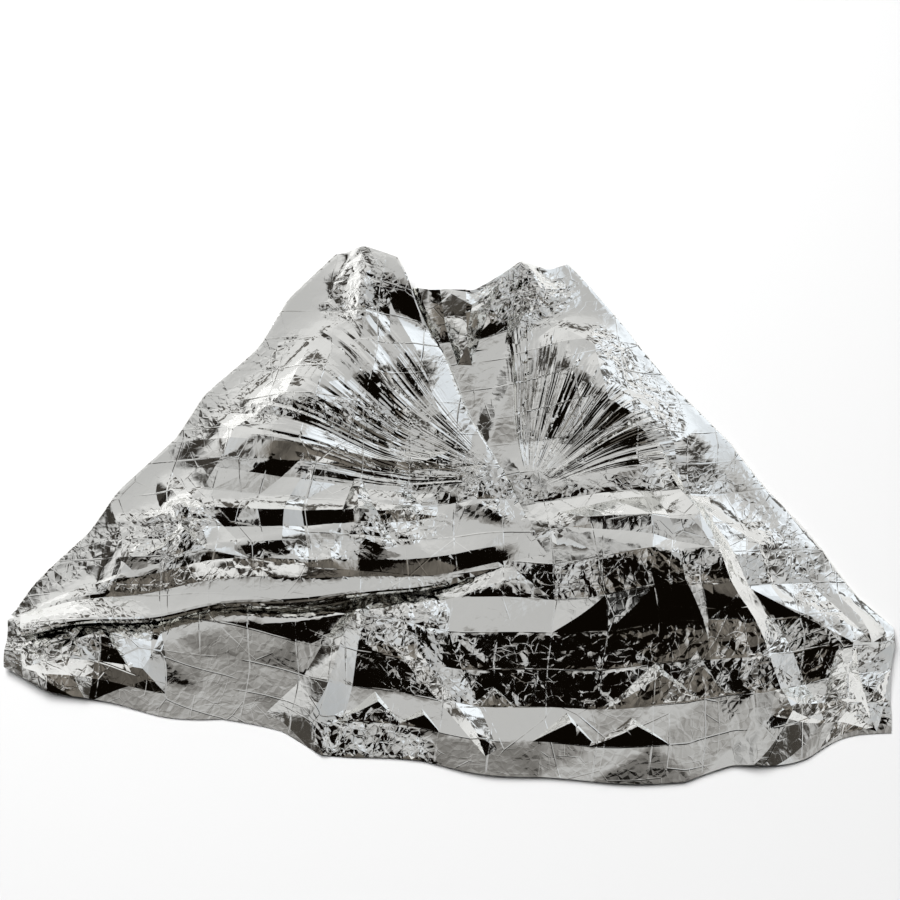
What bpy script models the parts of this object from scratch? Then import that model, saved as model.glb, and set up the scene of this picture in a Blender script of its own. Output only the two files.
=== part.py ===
"""Emergency foil blanket, laid out on a floor.

One sheet of metallised film, 2.1 x 1.3 m, that still carries the grid of creases from its packet. It lies with its
long edges along X, the near one at -Y. Its far corners are turned under, so that it is bell-shaped from above. On the
left a wing of the sheet lies over the rest, along two folds that start at the place where a hand has gathered it. Two
fans of fine pleats spread from the same place, and small points stand up along the near edge.

Every point of the sheet has a place on the flat cut, x along the length and y across it, with the middle at 0, 0.
The functions below carry such a point to where it lies. All lengths are in metres.
"""

import math
from collections import namedtuple

import bpy
import numpy as np
from mathutils import Vector
from mathutils.geometry import delaunay_2d_cdt

LENGTH = 2.10
WIDTH = 1.30
FILM = 0.0012  # modelled thickness; the film itself is about 0.012 mm
COLUMNS = 18  # packet panels along the length
ROWS = 16  # packet panels across the width
COLUMN = LENGTH / COLUMNS
ROW = WIDTH / ROWS
TAKE_UP = 0.975  # how much shorter the creases make the sheet

# The film folds under itself along two pleats. Both open from the tip of the wing that lies on top. A pleat's folded
# edge runs from that tip to (to_x, to_y) on the edge of the flat cut, and the wedge of film beside it goes under in
# two layers: the wedge on the clockwise side for side 1, on the other side for side -1. roof is how steeply the film
# on top rises behind the folded edge.
WING_TIP = (0.22, -0.14)
Pleat = namedtuple("Pleat", "name to_x to_y wedge_deg side lift roof")
PLEATS = (
    Pleat("band", -0.20, WIDTH / 2, 11.5, 1, 0.030, 0.30),
    Pleat("sweep", -LENGTH / 2, -0.36, 8.0, -1, 0.042, -0.16),
)
NOSE = 0.011  # how far from a folded edge the film has finished turning

# A far corner is turned under along a line, given where it lies on the floor.
Corner = namedtuple("Corner", "name x0 y0 x1 y1 lift")
CORNERS = (
    Corner("left_corner", -0.27, 0.66, -1.00, -0.29, 0.012),
    Corner("right_corner", 0.26, 0.65, 1.03, -0.36, 0.012),
)

# A fan is a set of pleats that spread from one point of the flat cut. steepness is rise over half a pleat's width.
Fan = namedtuple("Fan", "name x y from_deg to_deg pleats reach steepness")
FANS = (
    Fan("left_fan", 0.12, 0.04, 118, 178, 14, 0.90, 0.52),
    Fan("right_fan", 0.20, 0.03, 8, 88, 16, 0.78, 0.52),
)

# A swell is a broad rise of the sheet, placed where it lies on the floor.
Swell = namedtuple("Swell", "name x y along across turn_deg height")
SWELLS = (
    Swell("left_shoulder", -0.36, 0.20, 0.44, 0.24, 42, 0.075),
    Swell("right_shoulder", 0.40, 0.26, 0.36, 0.22, -50, 0.070),
    Swell("collar", 0.00, 0.60, 0.30, 0.17, 0, 0.080),
    Swell("knee", 0.48, -0.16, 0.38, 0.24, -35, 0.070),
    Swell("wing", -0.42, -0.10, 0.46, 0.17, 12, 0.045),
    Swell("left_tail", -0.86, -0.36, 0.24, 0.16, 20, 0.050),
    Swell("right_tail", 0.88, -0.40, 0.22, 0.16, -35, 0.050),
)

# The packet's rows stand up by turns where a patch says so, and each crossing has its own chance from a fixed seed.
Patch = namedtuple("Patch", "name x y along across amount")
STANDING = (
    Patch("knee", 0.36, -0.30, 0.80, 0.52, 1.0),
    Patch("wing_low", -0.45, -0.22, 0.55, 0.18, 0.8),
    Patch("left_tail", -0.95, -0.52, 0.26, 0.26, 0.9),
    Patch("collar", 0.10, 0.64, 0.40, 0.12, 0.5),
    Patch("right_side", 0.88, 0.00, 0.26, 0.40, 0.7),
)
ROW_LINES = np.array([16, 8, 0, 17, 33, 24, 37, 26, 10, 22, 10, 22, 12, 22, 12, 20, 10]) / 1000  # from the near edge
packet_chance = np.random.default_rng(5)
CROSSING_CHANCE = packet_chance.uniform(-1, 1, (COLUMNS + 1, ROWS + 1))
DIAGONALS = packet_chance.integers(0, 2, (COLUMNS, ROWS))
FLAT_SHARE = 0.10  # of the height of the row lines where the sheet was pulled flat
FLAT_CHANCE, STANDING_CHANCE = 0.0013, 0.0050

# A ridge is a fold that stands up between two points of the flat cut. lean above 0 makes its near side steeper, and
# taper above 0 makes it widen towards its end.
Ridge = namedtuple("Ridge", "name x0 y0 x1 y1 half_width height lean taper")
RIDGES = (
    Ridge("wing_upper", -0.84, 0.14, -0.02, 0.10, 0.050, 0.020, 0.3, -0.7),
    Ridge("wing_middle", -0.98, -0.08, -0.04, -0.01, 0.070, 0.026, 0.4, -0.6),
    Ridge("wing_lower", -1.02, -0.26, -0.22, -0.13, 0.055, 0.022, -0.2, 0.6),
    Ridge("panel_edge", -0.20, -0.28, -0.33, -0.64, 0.050, 0.026, 0.0, 0.7),
    Ridge("panel_slope", -0.14, -0.28, 0.12, -0.60, 0.050, 0.020, 0.3, -0.7),
    Ridge("left_corner_long", -1.00, -0.60, -0.66, -0.54, 0.050, 0.030, 0.3, 0.5),
    Ridge("left_corner_short", -0.90, -0.64, -0.84, -0.46, 0.045, 0.028, 0.0, -0.6),
    Ridge("knee_long", 0.50, 0.12, 0.82, -0.62, 0.075, 0.036, -0.4, 0.6),
    Ridge("knee_outer", 0.74, 0.08, 1.00, -0.40, 0.065, 0.028, 0.3, -0.6),
    Ridge("knee_top", 0.26, -0.06, 0.62, -0.10, 0.050, 0.018, 0.2, 0.6),
    Ridge("right_corner_long", 0.74, -0.52, 1.03, -0.58, 0.055, 0.034, 0.2, 0.5),
    Ridge("right_corner_short", 0.94, -0.64, 0.92, -0.42, 0.045, 0.030, 0.0, -0.5),
    Ridge("collar_left", -0.32, 0.62, -0.24, 0.42, 0.045, 0.026, 0.0, -0.6),
    Ridge("collar_right", 0.14, 0.64, 0.10, 0.40, 0.045, 0.030, 0.2, -0.6),
    Ridge("collar_far_right", 0.32, 0.62, 0.22, 0.44, 0.045, 0.028, 0.0, -0.6),
)

# A tent is a point pushed up beyond a crossing of the packet, with a broad face towards the near edge.
Tent = namedtuple("Tent", "name column row half_width depth height")
TENTS = (
    Tent("hem_1", 7.6, 1, 0.075, 0.060, 0.016),
    Tent("hem_2", 8.6, 1, 0.050, 0.040, 0.012),
    Tent("hem_3", 10, 2, 0.050, 0.034, 0.011),
    Tent("hem_4", 11.4, 1, 0.070, 0.056, 0.018),
    Tent("hem_5", 13, 2, 0.105, 0.066, 0.026),
    Tent("hem_6", 13.8, 2, 0.075, 0.080, 0.026),
    Tent("hem_7", 12.6, 1, 0.085, 0.050, 0.016),
    Tent("tail_1", 1.0, 1, 0.080, 0.090, 0.034),
    Tent("tail_2", 1.9, 1, 0.090, 0.100, 0.036),
    Tent("tail_3", 0.6, 2, 0.060, 0.070, 0.026),
    Tent("wing_1", 3.2, 6, 0.080, 0.060, 0.022),
)

# How far the near edge and the collar are drawn out (above 0) or in, at places along the length.
NEAR_EDGE_X = (-1.05, -0.92, -0.76, -0.52, -0.38, -0.29, -0.05, 0.22, 0.52, 0.62, 0.80, 1.05)
NEAR_EDGE_OUT = (-0.010, 0.014, -0.010, -0.042, -0.026, 0.012, -0.006, 0.008, 0.034, 0.004, 0.010, -0.020)
COLLAR_X = (-0.36, -0.22, -0.06, 0.04, 0.16, 0.30)
COLLAR_OUT = (0.0, 0.012, -0.055, -0.065, 0.014, 0.0)


def smooth_step(low, high, value):
    """0 below low, 1 above high, and an even rise between them."""
    t = np.clip((value - low) / (high - low), 0, 1)
    return t * t * (3 - 2 * t)


def wobble(x, y, seed):
    """Slow unevenness between -1 and 1."""
    return (
        np.sin(5.3 * x + 1.7 * seed + 1.9 * np.sin(3.1 * y + seed))
        + np.sin(7.9 * y + 2.3 * seed + 1.4 * np.sin(4.3 * x - seed))
    ) / 2


def unit(vector):
    return vector / np.linalg.norm(vector)


# ---------------------------------------------------------------------------------------------------------------------
# Folding: how the flat cut is brought to its outline, and the height of each layer.


def turning(distance):
    """A quarter circle: 0 at a folded edge, 1 where the film has finished turning."""
    return np.sqrt(1 - (1 - np.clip(distance / NOSE, 0, 1)) ** 2)


def fold_under(plan, pleat, edge, wedge):
    """Folds one pleat whose edge points along edge: new places, layer heights, shares of relief, and the spread."""
    tip = np.array(WING_TIP)
    across = np.array([edge[1], -edge[0]]) * pleat.side
    spread = 2 * math.pi / (2 * math.pi - wedge)
    from_tip = plan - tip
    reach = np.hypot(from_tip[:, 0], from_tip[:, 1])
    angle = np.arctan2(from_tip @ across, from_tip @ edge)
    middle = (angle > 0) & (angle < wedge / 2)
    bottom = (angle >= wedge / 2) & (angle <= wedge)
    top = (angle <= 0) & (angle > -math.pi / 2)
    turned = spread * np.where(angle <= 0, angle, np.where(middle, -angle, angle - wedge))
    reach = reach / spread
    heading = (turned + wedge / 2)[:, None]
    laid = tip + reach[:, None] * (np.cos(heading) * edge + np.sin(heading) * across)

    width = reach * wedge / 2
    behind = np.abs(turned) * reach
    grown = smooth_step(0.004, 0.045, width)
    over, under = pleat.lift * grown, 0.42 * pleat.lift * grown
    nose = (over + under) / 2
    roof = pleat.roof * width * np.interp(behind / np.maximum(width, 1e-6), [0, 0.8, 2.4], [0, 1, 0])
    run_out = 1 - smooth_step(width, 1.9 * width + 0.05, behind)
    top_height = (nose + (over - nose) * turning(behind)) * run_out + grown * roof
    to_far_edge = under / 2 * (1 + turning(width - behind))
    middle_height = np.where(behind < width / 2, nose - (nose - under) * turning(behind), to_far_edge)
    bottom_height = under / 2 * (1 - turning(width - behind))
    height = np.select([top, middle, bottom], [top_height, middle_height, bottom_height], 0.0)

    hidden = smooth_step(0.0, 0.02, width)
    near_edge = 1 - smooth_step(0.25 * width, width + 0.02, behind)
    share = np.select([top, middle | bottom], [1 - 0.75 * near_edge * hidden, 1 - 0.92 * hidden], 1.0)
    return laid, height, share, spread


def fold_pleats(points):
    """Where points of the flat cut lie once the pleats are folded, how high, and how much relief they show."""
    edge_ends = np.array([[pleat.to_x, pleat.to_y] for pleat in PLEATS])
    plan = np.vstack([points, edge_ends])
    height, relief, stretch = np.zeros(len(plan)), np.ones(len(plan)), 1.0
    for index, pleat in enumerate(PLEATS):
        edge = unit(plan[len(points) + index] - np.array(WING_TIP))
        wedge = stretch * math.radians(pleat.wedge_deg)
        plan, layer, share, spread = fold_under(plan, pleat, edge, wedge)
        height, relief, stretch = height + layer, relief * share, stretch * spread
    count = len(points)
    return plan[:count], height[:count], relief[:count]


def corner_frame(corner):
    """The start of a corner's fold line, its direction, and the direction that points out past it."""
    start = np.array([corner.x0, corner.y0])
    along = unit(np.array([corner.x1, corner.y1]) - start)
    outward = np.array([along[1], -along[0]])
    return start, along, outward * np.sign(outward[1])


def corner_below(plan, off, corner, tip):
    """1 where the turned-under corner lies below a point, falling to 0 a little way outside it."""
    start, _, outward = corner_frame(corner)
    end = np.array([corner.x1, corner.y1])
    mirrored = plan - 2 * off[:, None] * outward
    inner = (start + tip + end) / 3
    margin = np.full(len(plan), 1.0)
    for a, b in ((start, tip), (tip, end)):
        side = unit(b - a)
        normal = np.array([side[1], -side[0]])
        margin = np.minimum(margin, (mirrored - a) @ (normal * np.sign((inner - a) @ normal)))
    return smooth_step(-0.05, 0.0, margin)


def turn_corners(plan):
    """Turns both far corners under: new places, heights, shares of relief, of the rise, and which points are under."""
    height, share, rise = np.zeros(len(plan)), np.ones(len(plan)), np.ones(len(plan))
    under = np.zeros(len(plan), bool)
    tips = fold_pleats(np.array([[-LENGTH / 2, WIDTH / 2], [LENGTH / 2, WIDTH / 2]]))[0]
    laid = plan.copy()
    for corner, tip in zip(CORNERS, tips):
        start, _, outward = corner_frame(corner)
        off = (plan - start) @ outward
        past = off > 0
        laid -= 2 * np.maximum(off, 0)[:, None] * outward
        cover = corner_below(plan, off, corner, tip)
        turn = turning(np.abs(off))
        height += corner.lift / 2 * np.where(past, 1 - turn, cover * (1 + turn))
        near = cover * (1 - smooth_step(0.0, 0.10, -off))
        share *= np.where(past, 0.05, 1 - near)
        rise *= np.where(past, 0.0, 1 - near)
        under |= past
    return laid, height, share, rise, under


# ---------------------------------------------------------------------------------------------------------------------
# Relief: the creases, fans, ridges and tents that stand up from the sheet, as heights on the flat cut.


def crossing(column, row):
    """The place of a crossing of the packet's creases in the flat cut."""
    return -LENGTH / 2 + column * COLUMN, -WIDTH / 2 + row * ROW


def standing_share(x, y):
    """1 where the rows stand as a full zigzag, near 0 where the sheet was pulled flat."""
    share = np.zeros_like(x)
    for patch in STANDING:
        away = np.hypot((x - patch.x) / patch.along, (y - patch.y) / patch.across)
        share = np.maximum(share, patch.amount * (1 - smooth_step(0.55, 1.0, away)))
    return share


def crossing_heights():
    """How high each crossing of the packet's creases stands."""
    column, row = np.meshgrid(np.arange(COLUMNS + 1), np.arange(ROWS + 1), indexing="ij")
    share = standing_share(*crossing(column, row))
    crest = (FLAT_SHARE + (1 - FLAT_SHARE) * share) * ROW_LINES[row]
    chance = (FLAT_CHANCE + STANDING_CHANCE * share) * CROSSING_CHANCE
    return np.maximum(crest + chance + FLAT_CHANCE, 0)


def packet_relief(x, y):
    """The height of the panels, each bent along its diagonal."""
    heights = crossing_heights()
    column, row = (x + LENGTH / 2) / COLUMN, (y + WIDTH / 2) / ROW
    left = np.clip(np.floor(column).astype(int), 0, COLUMNS - 1)
    near = np.clip(np.floor(row).astype(int), 0, ROWS - 1)
    rightward, farther = column - left, row - near
    flipped = DIAGONALS[left, near] == 1
    start = np.where(flipped, left + 1, left)
    end = np.where(flipped, left, left + 1)
    across = np.where(flipped, 1 - rightward, rightward)
    near_start, near_end = heights[start, near], heights[end, near]
    far_start, far_end = heights[start, near + 1], heights[end, near + 1]
    below = near_start + across * (near_end - near_start) + farther * (far_end - near_end)
    above = near_start + farther * (far_start - near_start) + across * (far_end - far_start)
    return np.where(across > farther, below, above)


def fan_edges(fan):
    """The directions of a fan's folds in degrees, and how high each stands: 0 in a valley, up to 1 on a crest."""
    folds = 2 * fan.pleats
    steps = np.arange(folds + 1)
    crests = steps % 2
    uneven = steps + 0.30 * np.sin(2.4 * steps + fan.from_deg) + 0.42 * crests * np.sign(np.sin(1.3 * steps))
    uneven[0], uneven[-1] = 0, folds
    directions = fan.from_deg + (fan.to_deg - fan.from_deg) * uneven / folds
    return directions, crests * (0.70 + 0.30 * np.sin(3.7 * steps))


def fan_relief(x, y, fan):
    """The height of one fan's pleats."""
    along, beside = x - fan.x, y - fan.y
    reach = np.hypot(along, beside)
    angle = np.degrees(np.arctan2(beside, along)) % 360
    directions, crests = fan_edges(fan)
    half_pleat = math.radians(fan.to_deg - fan.from_deg) / (2 * fan.pleats)
    grows = smooth_step(0.02, 0.10, reach) * (1 - smooth_step(0.45 * fan.reach, fan.reach, reach))
    shape = np.interp(angle, directions, crests, left=0, right=0)
    return fan.steepness * half_pleat * np.minimum(reach, 0.35) * grows * shape


def ridge_width(ridge, run_share):
    """Half the width of a ridge at a share of the way along it."""
    return ridge.half_width * (1 + ridge.taper * (2 * run_share - 1))


def ridge_relief(x, y, ridge):
    """A roof-shaped fold that runs out to nothing at both ends."""
    start = np.array([ridge.x0, ridge.y0])
    along = np.array([ridge.x1, ridge.y1]) - start
    length = np.linalg.norm(along)
    along = along / length
    run = (x - start[0]) * along[0] + (y - start[1]) * along[1]
    off = (y - start[1]) * along[0] - (x - start[0]) * along[1]
    off = off * np.sign(along[0] + 1e-9)
    width = ridge_width(ridge, np.clip(run / length, 0, 1)) * np.where(off < 0, 1 - ridge.lean, 1 + ridge.lean)
    ends = np.minimum(run, length - run) / (1.1 * ridge.half_width)
    return ridge.height * np.clip(np.minimum(1 - np.abs(off) / width, ends), 0, 1)


def tent_points(tent):
    """The corners of a tent's foot and its top, on the flat cut: left, right, far, top."""
    x, y = crossing(tent.column, tent.row)
    return (
        np.array([x - tent.half_width, y]),
        np.array([x + tent.half_width, y]),
        np.array([x, y + 1.25 * tent.depth]),
        np.array([x + 0.15 * tent.half_width, y + 0.80 * tent.depth]),
    )


def tent_relief(x, y, tent):
    """A three-sided point: the height falls in a straight line from its top to each side of its foot."""
    left, right, far, top = tent_points(tent)
    share = np.full_like(x, np.inf)
    for start, end in ((left, right), (right, far), (far, left)):
        inward = np.array([start[1] - end[1], end[0] - start[0]])
        from_side = (x - start[0]) * inward[0] + (y - start[1]) * inward[1]
        share = np.minimum(share, from_side / ((top - start) @ inward))
    return tent.height * np.clip(share, 0, 1)


def relief_height(x, y):
    """Every crease, fan, ridge and tent of the flat cut together."""
    relief = packet_relief(x, y)
    for fan in FANS:
        relief = relief + fan_relief(x, y, fan)
    for ridge in RIDGES:
        relief = relief + ridge_relief(x, y, ridge)
    for tent in TENTS:
        relief = relief + tent_relief(x, y, tent)
    return np.maximum(relief, 0)


def swell_height(x, y):
    """The broad rises, at a place on the floor."""
    total = np.zeros_like(x)
    for swell in SWELLS:
        turn = math.radians(swell.turn_deg)
        along = (x - swell.x) * math.cos(turn) + (y - swell.y) * math.sin(turn)
        across = (y - swell.y) * math.cos(turn) - (x - swell.x) * math.sin(turn)
        away = np.hypot(along / swell.along, across / swell.across)
        total = total + swell.height * (1 - smooth_step(0.0, 1.0, away))
    return total


def uneven_outline(plan):
    """The outline wanders a little, the near edge bows towards -Y and the near corners are drawn in."""
    x, y = plan[:, 0], plan[:, 1]
    corner = smooth_step(0.62, 1.05, np.abs(x)) * smooth_step(0.25, 0.62, -y)
    drawn_in = 0.040 * corner * (1 + 0.25 * np.sin(17 * x + 11 * y))
    moved_x = x + 0.010 * wobble(x, y, 2.0) + 0.004 * np.sin(23 * y + 3 * x) - np.sign(x) * drawn_in
    moved_y = y + 0.012 * wobble(y, x, 5.0) + 0.004 * np.sin(19 * x + 5 * y) - 0.020 * np.cos(2.4 * x)
    moved_y = moved_y + 1.2 * drawn_in
    moved_y = moved_y - np.interp(x, NEAR_EDGE_X, NEAR_EDGE_OUT) * smooth_step(0.32, 0.62, -y)
    moved_y = moved_y + np.interp(x, COLLAR_X, COLLAR_OUT) * smooth_step(0.34, 0.62, y)
    return TAKE_UP * np.column_stack([moved_x, moved_y])


def lay(points):
    """Carries points of the flat cut to where the underside of the sheet lies."""
    plan, pleat_height, share = fold_pleats(points)
    plan, corner_height, corner_share, rise, under = turn_corners(plan)
    relief = relief_height(points[:, 0], points[:, 1])
    lifted = rise * (pleat_height + swell_height(plan[:, 0], plan[:, 1]))
    z = corner_height + lifted + share * corner_share * relief
    z = np.maximum(z, np.where(under, FILM, 0))
    return np.column_stack([uneven_outline(plan), z])


# ---------------------------------------------------------------------------------------------------------------------
# The crease pattern: the lines of the flat cut along which the sheet bends, and a few points between them.


STEP = 0.064  # how far apart the points of a crease lie
CORNER_STOPS = 17  # along a corner's fold line
CUT_MARGIN = 0.004  # how far a fan's folds keep from the rim of the cut
MERGE = 0.004  # points nearer than this become one


class CreasePattern:
    """Points and lines of the flat cut, gathered for one triangulation."""

    def __init__(self):
        self.points = []
        self.lines = []

    def line(self, start, end, step=STEP, margin=0.0):
        """A straight crease with a point about every step, kept to the flat cut."""
        found = clip_to_cut(start, end, margin)
        if found is None:
            return
        start, end = found
        pieces = max(1, round(float(np.linalg.norm(end - start)) / step))
        first = len(self.points)
        self.points += [start + (end - start) * k / pieces for k in range(pieces + 1)]
        self.lines += [(first + k, first + k + 1) for k in range(pieces)]


def clip_to_cut(start, end, margin):
    """The part of a line that lies on the flat cut, or None."""
    start, end = np.array(start, float), np.array(end, float)
    low, high = 0.0, 1.0
    for axis, limit in ((0, LENGTH / 2 - margin), (1, WIDTH / 2 - margin)):
        step = end[axis] - start[axis]
        if abs(step) < 1e-9:
            if abs(start[axis]) > limit + 1e-9:
                return None
            continue
        first, last = sorted(((-limit - start[axis]) / step, (limit - start[axis]) / step))
        low, high = max(low, first), min(high, last)
    if low >= high:
        return None
    return start + low * (end - start), start + high * (end - start)


def draw_packet(pattern):
    """The outline, the packet's rows and columns, and the diagonal of each panel."""
    for row in range(ROWS + 1):
        pattern.line(crossing(0, row), crossing(COLUMNS, row), COLUMN)
    for column in range(COLUMNS + 1):
        pattern.line(crossing(column, 0), crossing(column, ROWS), ROW)
    for column in range(COLUMNS):
        for row in range(ROWS):
            flipped = DIAGONALS[column, row]
            pattern.line(crossing(column + flipped, row), crossing(column + 1 - flipped, row + 1), COLUMN)


def draw_pleats(pattern):
    """Each pleat's two folded edges and the lines beside them where the film has finished turning."""
    tip = np.array(WING_TIP)
    for pleat in PLEATS:
        edge = unit(np.array([pleat.to_x, pleat.to_y]) - tip)
        across = np.array([edge[1], -edge[0]]) * pleat.side
        wedge = math.radians(pleat.wedge_deg)
        for share in (-1.2, -0.4, 0, 0.5, 1.0):
            heading = math.cos(share * wedge) * edge + math.sin(share * wedge) * across
            pattern.line(tip, tip + 3 * heading)
            if share in (0, 0.5):
                for aside in (-NOSE, NOSE):
                    start = tip + 0.25 * heading + aside * across
                    pattern.line(start, start + 3 * heading)


def flat_places(targets):
    """The points of the flat cut that lie at places on the floor before the corners are turned."""
    guess = targets.copy()
    for _ in range(60):
        guess += targets - fold_pleats(guess)[0]
    return guess


def draw_corners(pattern):
    """Each corner's fold line, traced back to the flat cut, and the lines beside it where the film has turned."""
    for corner in CORNERS:
        start, along, outward = corner_frame(corner)
        length = math.hypot(corner.x1 - corner.x0, corner.y1 - corner.y0)
        steps = np.linspace(-0.04, 1.04, CORNER_STOPS)[:, None] * length
        for aside in (-NOSE, 0, NOSE):
            stops = flat_places(start + along * steps + outward * aside)
            for a, b in zip(stops, stops[1:]):
                if np.linalg.norm(b - a) < 2 * STEP:
                    pattern.line(a, b)


def draw_fans(pattern):
    """The crest and valley lines of each fan."""
    for fan in FANS:
        start = np.array([fan.x, fan.y])
        for direction in np.radians(fan_edges(fan)[0]):
            heading = np.array([math.cos(direction), math.sin(direction)])
            pattern.line(start + 0.06 * heading, start + fan.reach * heading, 1.5 * STEP, CUT_MARGIN)


def draw_ridges(pattern):
    """The top line of each ridge and its foot on either side."""
    for ridge in RIDGES:
        start, end = np.array([ridge.x0, ridge.y0]), np.array([ridge.x1, ridge.y1])
        along = unit(end - start)
        left = np.array([-along[1], along[0]]) * np.sign(along[0] + 1e-9)
        top = (start + 1.1 * ridge.half_width * along, end - 1.1 * ridge.half_width * along)
        pattern.line(*top)
        for side, lean in ((left, 1 + ridge.lean), (-left, 1 - ridge.lean)):
            feet = (start + side * ridge_width(ridge, 0) * lean, end + side * ridge_width(ridge, 1) * lean)
            pattern.line(*feet)
            pattern.line(feet[0], top[0])
            pattern.line(feet[1], top[1])


def draw_tents(pattern):
    """The three slanting edges of each tent and the three sides of its foot."""
    for tent in TENTS:
        left, right, far, top = tent_points(tent)
        for start, end in ((left, right), (right, far), (far, left)):
            pattern.line(start, end)
            pattern.line(start, top)


def crease_pattern():
    """(points, triangles) of the flat cut."""
    pattern = CreasePattern()
    for draw in (draw_packet, draw_pleats, draw_corners, draw_fans, draw_ridges, draw_tents):
        draw(pattern)
    made = delaunay_2d_cdt([Vector(p) for p in pattern.points], pattern.lines, [], 0, MERGE, False)
    return np.array([v[:] for v in made[0]]), [tuple(f) for f in made[2]]


# ---------------------------------------------------------------------------------------------------------------------
# The sheet itself.


def clear_scene():
    for obj in list(bpy.data.objects):
        bpy.data.objects.remove(obj, do_unlink=True)


def foil_material():
    material = bpy.data.materials.new("silver_foil")
    material.use_nodes = True
    shader = material.node_tree.nodes["Principled BSDF"]
    shader.inputs["Base Color"].default_value = (0.80, 0.80, 0.78, 1)
    shader.inputs["Metallic"].default_value = 1.0
    shader.inputs["Roughness"].default_value = 0.18
    return material


def foil_sheet(collection):
    """The blanket: the crease pattern, laid and given the film's thickness."""
    points, triangles = crease_pattern()
    laid = lay(points)
    middle = (laid.max(axis=0) + laid.min(axis=0)) / 2
    laid[:, :2] -= middle[:2]
    mesh = bpy.data.meshes.new("foil_blanket")
    mesh.from_pydata([tuple(map(float, p)) for p in laid], [], triangles)
    mesh.update()
    sheet = bpy.data.objects.new("foil_blanket", mesh)
    collection.objects.link(sheet)
    thickness = sheet.modifiers.new("film", "SOLIDIFY")
    thickness.thickness = FILM
    thickness.offset = 1
    sheet.data.materials.append(foil_material())
    return sheet


def main():
    clear_scene()
    collection = bpy.data.collections.new("emergency_foil_blanket")
    bpy.context.scene.collection.children.link(collection)
    foil_sheet(collection)


main()
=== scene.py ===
# %% [markdown]
# # Emergency foil blanket
#
# The real thing is one cut of thin silver film, 2.1 by 1.3 m, that has spent years folded small in a packet. Here it
# lies on a floor with the camera above it. Its far corners are turned under, a wing of the left side lies over the
# rest, and two fans of pleats spread from the place where a hand has gathered it.
#
# Film like this could be simulated, but a simulation rounds its creases. Film creases stay sharp, so the sheet is made
# the way that paper folds are drawn: a crease pattern on the flat cut, and functions that carry each point of the cut
# to where it lies. The first cell loads the frame that the sheet has to fit.

import math
from collections import namedtuple

import bpy
import numpy as np
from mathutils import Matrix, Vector
from mathutils.geometry import delaunay_2d_cdt


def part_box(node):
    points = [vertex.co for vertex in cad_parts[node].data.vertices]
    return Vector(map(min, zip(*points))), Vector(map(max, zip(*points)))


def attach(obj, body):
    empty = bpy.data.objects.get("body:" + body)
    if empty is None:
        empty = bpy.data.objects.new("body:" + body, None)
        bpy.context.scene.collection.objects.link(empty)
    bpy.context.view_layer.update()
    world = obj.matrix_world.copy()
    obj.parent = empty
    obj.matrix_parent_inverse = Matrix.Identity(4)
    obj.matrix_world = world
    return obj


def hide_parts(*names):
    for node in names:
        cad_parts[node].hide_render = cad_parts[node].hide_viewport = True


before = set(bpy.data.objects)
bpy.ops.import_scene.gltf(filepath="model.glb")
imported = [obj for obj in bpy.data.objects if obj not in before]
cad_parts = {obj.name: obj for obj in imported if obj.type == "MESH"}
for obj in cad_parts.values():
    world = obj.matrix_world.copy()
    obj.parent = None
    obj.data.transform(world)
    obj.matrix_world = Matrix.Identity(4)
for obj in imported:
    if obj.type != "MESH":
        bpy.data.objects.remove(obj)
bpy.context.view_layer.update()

# %% [markdown]
# ## The flat cut
#
# Every point of the sheet has a place on the flat cut, x along the length and y across it, with 0, 0 in the middle.
# The packet left a grid of creases, 18 panels by 16. One helper gives slow unevenness, so that no fold is quite like
# the next, and one gives the even rise that most of the forms below use. Places and directions are rows of numpy
# arrays, so that one call lays thousands of points.

# %% Sizes of the cut
LENGTH, WIDTH = 2.10, 1.30
COLUMNS, ROWS = 18, 16
COLUMN, ROW = LENGTH / COLUMNS, WIDTH / ROWS


def smooth_step(low, high, value):
    """0 below low, 1 above high, and an even rise between them."""
    t = np.clip((value - low) / (high - low), 0, 1)
    return t * t * (3 - 2 * t)


def wobble(x, y, seed):
    """Slow unevenness between -1 and 1."""
    return (
        np.sin(5.3 * x + 1.7 * seed + 1.9 * np.sin(3.1 * y + seed))
        + np.sin(7.9 * y + 2.3 * seed + 1.4 * np.sin(4.3 * x - seed))
    ) / 2


def unit(vector):
    """The same direction, with a length of 1."""
    return vector / np.linalg.norm(vector)


def turned_right(direction):
    """This direction, turned a quarter clockwise."""
    return np.array([direction[1], -direction[0]])


def crossing(column, row):
    """The place of a crossing of the packet's creases in the flat cut."""
    return -LENGTH / 2 + column * COLUMN, -WIDTH / 2 + row * ROW


print(f"each packet panel is {1000 * COLUMN:.0f} x {1000 * ROW:.0f} mm")

# %% [markdown]
# ## The two long pleats
#
# When a sheet is pulled round to a point, the film that is over goes under itself in a wedge. The blanket has two such
# wedges. Both open from the tip of the wing on top, one towards the collar and one towards the left tail, and each lies
# under the sheet in two layers. They could be cut out and three sheets laid on each other, but the real thing is one
# piece, so the points on the flat cut are turned about the tip instead: the film folds and stays whole.
#
# A folded edge is known by its profile. Behind it the film on top keeps a calm strip with a slope of its own, then
# climbs back to its full relief within a few centimetres and runs out to the layer below. Past it the film below
# starts flat, so that a gap of shade stays under the edge.

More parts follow.
